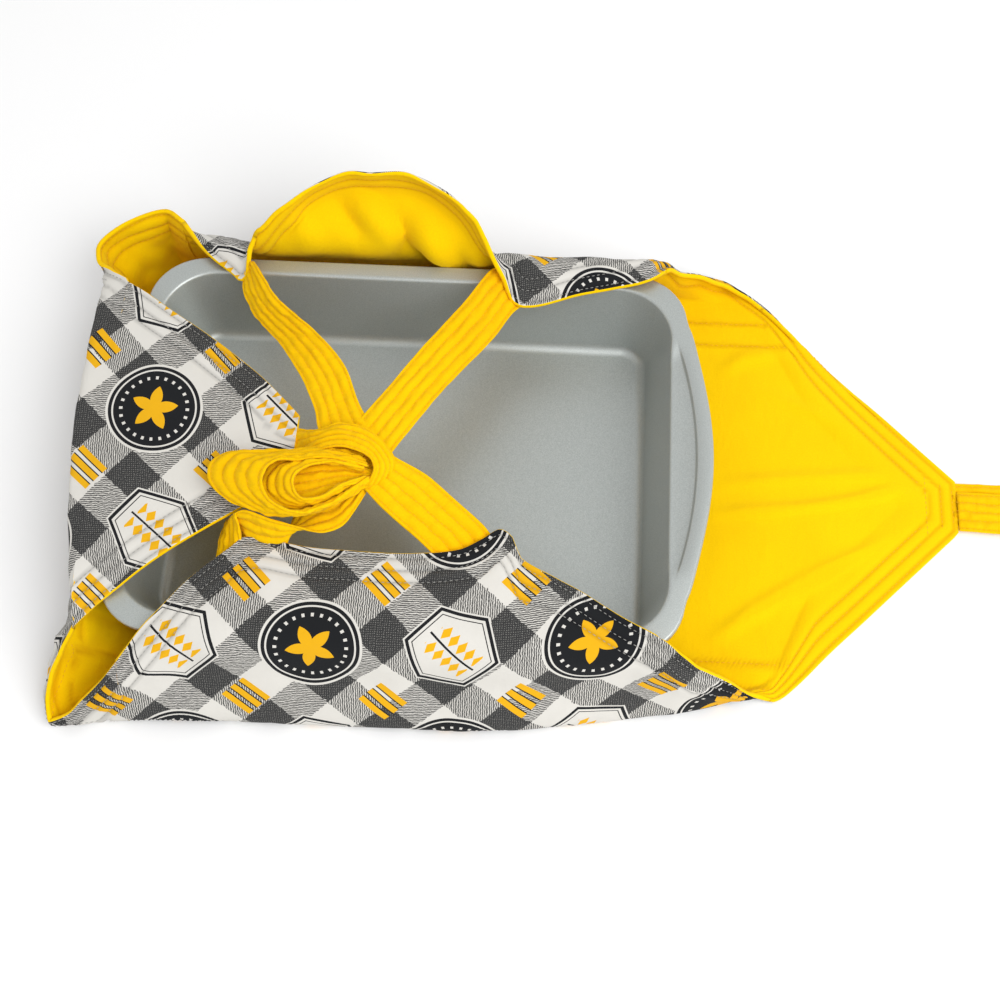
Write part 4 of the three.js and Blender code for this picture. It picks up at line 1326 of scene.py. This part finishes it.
# Straps of the front edge: the same padded strap, sewn to the lining behind the front flap's cut edge.
# The right one lies flat; the left one stands on edge behind the flap, then turns flat to the knot.
front_right = sewn_strap(
    "front_right_strap_cloth",
    [(-22, -6, 80), (-1, -19, 81), (16, -27, 78), (38, -43, 72.5), (56, -57, 66), (66, -72, 60.5)],
    [(-38, -26, 80), (-20, -40, 81), (-6, -53, 78), (12, -66, 72.5), (24, -75, 65.5), (36, -90, 60.5)],
    13, ("carrier", "front_handle"), ((0, -0.080, 0.07), (0, -0.056, 0.07)))
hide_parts("front_right_strap")
front_left = sewn_strap(
    "front_left_strap_cloth",
    [(-95, -88, 60), (-91.5, -76, 67), (-92.5, -67, 77), (-94, -61.8, 83), (-88.5, -60.8, 86),
     (-80, -62.5, 86), (-66.5, -66.3, 85), (-52.8, -69, 83), (-40.5, -70.7, 81), (-31, -66, 80),
     (-24, -55, 79), (-18, -42, 78)],
    [(-110, -90, 54), (-108.5, -77, 56), (-107, -64, 57), (-104, -58, 57), (-95, -68, 58),
     (-80, -79, 61), (-67, -77, 62), (-64, -63, 68), (-57, -48, 72), (-44, -41, 75.5),
     (-34, -37, 77), (-25, -26, 78)],
    14, ("carrier", "front_handle"), ((-0.102, 0, 0.07), (-0.072, 0, 0.07)))
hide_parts("front_left_strap")

# Knot: the tie of the left corner is carried over the crossing straps and down under them.
# Between the legs the strap that they share lies pressed inside the knot.
heart = sewn_strap(
    "knot_heart_strap",
    [(-52, 0, 77), (-45, -10, 78), (-36, -22, 79), (-27, -33, 79), (-19, -40, 78)],
    [(-29, 12, 78), (-21, 6, 79.5), (-12, -5, 81), (-5, -16, 81), (-1, -21, 80)],
    15, "back_handle")
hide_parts("knot_heart")
wrap = sewn_strap(
    "left_tie_wrap_strap",
    [(-78, 3, 66), (-66, 3, 70), (-57, -1, 77.5), (-48, -2, 82.5), (-36.3, 0.5, 85.5), (-22, -2.5, 86.5),
     (-10, -10.5, 85.5), (-2, -21.5, 82.5), (-2.7, -28.5, 79), (-9, -35, 76), (-19, -38, 73)],
    [(-78, -31, 66), (-66, -28, 70), (-58, -24, 79), (-48, -20.5, 88), (-36.5, -18.5, 92), (-25, -20.5, 93),
     (-16.5, -25, 92), (-13.5, -31, 90.5), (-15, -35.5, 88), (-18, -39, 84), (-23, -39, 79)],
    16, "back_handle")
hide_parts("left_tie_wrap")

# Spare end of the tie: drawn under the wrap and gathered to the left of the knot in two nested loops.
# Both stand on edge near the knot and lean out at their left ends; the tail lies between them.
loop_bend = ((-0.034, 0, 0.085), (-0.070, 0, 0.085))
loop_outer = sewn_strap(
    "tie_loop_outer_strap",
    [(-22, -18, 82), (-42, -13, 83), (-61, -17.5, 84), (-85, -20.3, 84), (-105.5, -22.5, 84),
     (-113.3, -29, 84), (-114, -39, 84), (-108, -47.8, 84), (-95.6, -55.4, 84), (-79.9, -59.3, 84),
     (-64, -60.5, 84), (-46, -56.5, 83), (-32, -49, 82.5), (-17, -37, 81)],
    [(-17, -30, 90), (-35, -28, 95), (-55, -30.3, 97), (-70, -32.5, 98), (-75, -36, 99),
     (-77, -41, 99), (-77, -46, 99), (-75.5, -51.5, 99), (-71.5, -57.5, 98), (-64, -63, 98),
     (-55, -65, 97.5), (-44.8, -62, 96), (-32, -53.3, 94), (-16, -36, 89)],
    17, ("back_handle", "tie_loop"), loop_bend)
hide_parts("tie_loop_outer")
loop_inner = sewn_strap(
    "tie_loop_inner_strap",
    [(-20, -27, 82), (-36, -24.5, 86), (-58, -25.5, 87), (-78, -30, 87), (-83, -40, 87),
     (-79, -52, 87), (-63, -58, 87), (-46, -55, 87), (-33, -46, 86), (-18, -36, 82)],
    [(-19, -31, 90), (-34, -31, 96), (-47.5, -33, 98), (-55.2, -38, 99), (-58.5, -45, 99.5),
     (-57.2, -51.5, 99.5), (-52, -56.5, 99), (-45, -55.5, 98), (-32.5, -46, 96), (-18, -35.5, 89)],
    18, ("back_handle", "tie_loop"), loop_bend)
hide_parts("tie_loop_inner")
sewn_strap(
    "tie_tail_strap",
    [(-12, -30, 83), (-34, -26, 86), (-54, -27, 86.5), (-70, -31, 85.5), (-78, -36, 84)],
    [(-14, -37, 83), (-34, -45, 86), (-50, -53, 87), (-64, -55, 86), (-76, -50, 84)],
    20, ("back_handle", "tie_loop"), loop_bend)

# Tie of the open corner: one strap doubled back on itself as a loop, sewn into the tip at both ends.
# The upper run lies a little to the front, so the lower one shows behind it.
tie_end = 521
tie_half = 14
tie_route = [(358, 3.5, 1.9), (436, 4, 1.9), (tie_end - 9, 2, 1.9), (tie_end - 2, 1, 2.4), (tie_end, -1, 3.6)]
tie_route += [(tie_end - 2, -2, 4.8), (tie_end - 9, -3, 5.3), (436, -5, 5.3), (372, -4, 5.1)]
tie_route += [(360.5, -3, 3.6)]
tie = sewn_strap(
    "right_tie_strap",
    [(x, y - tie_half, z) for x, y, z in tie_route],
    [(x, y + tie_half, z) for x, y, z in tie_route],
    19, ("right_tip", "right_tie"), ((0.3585, 0, 0.0066), (0.372, 0, 0.0066)))
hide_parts("right_tie")
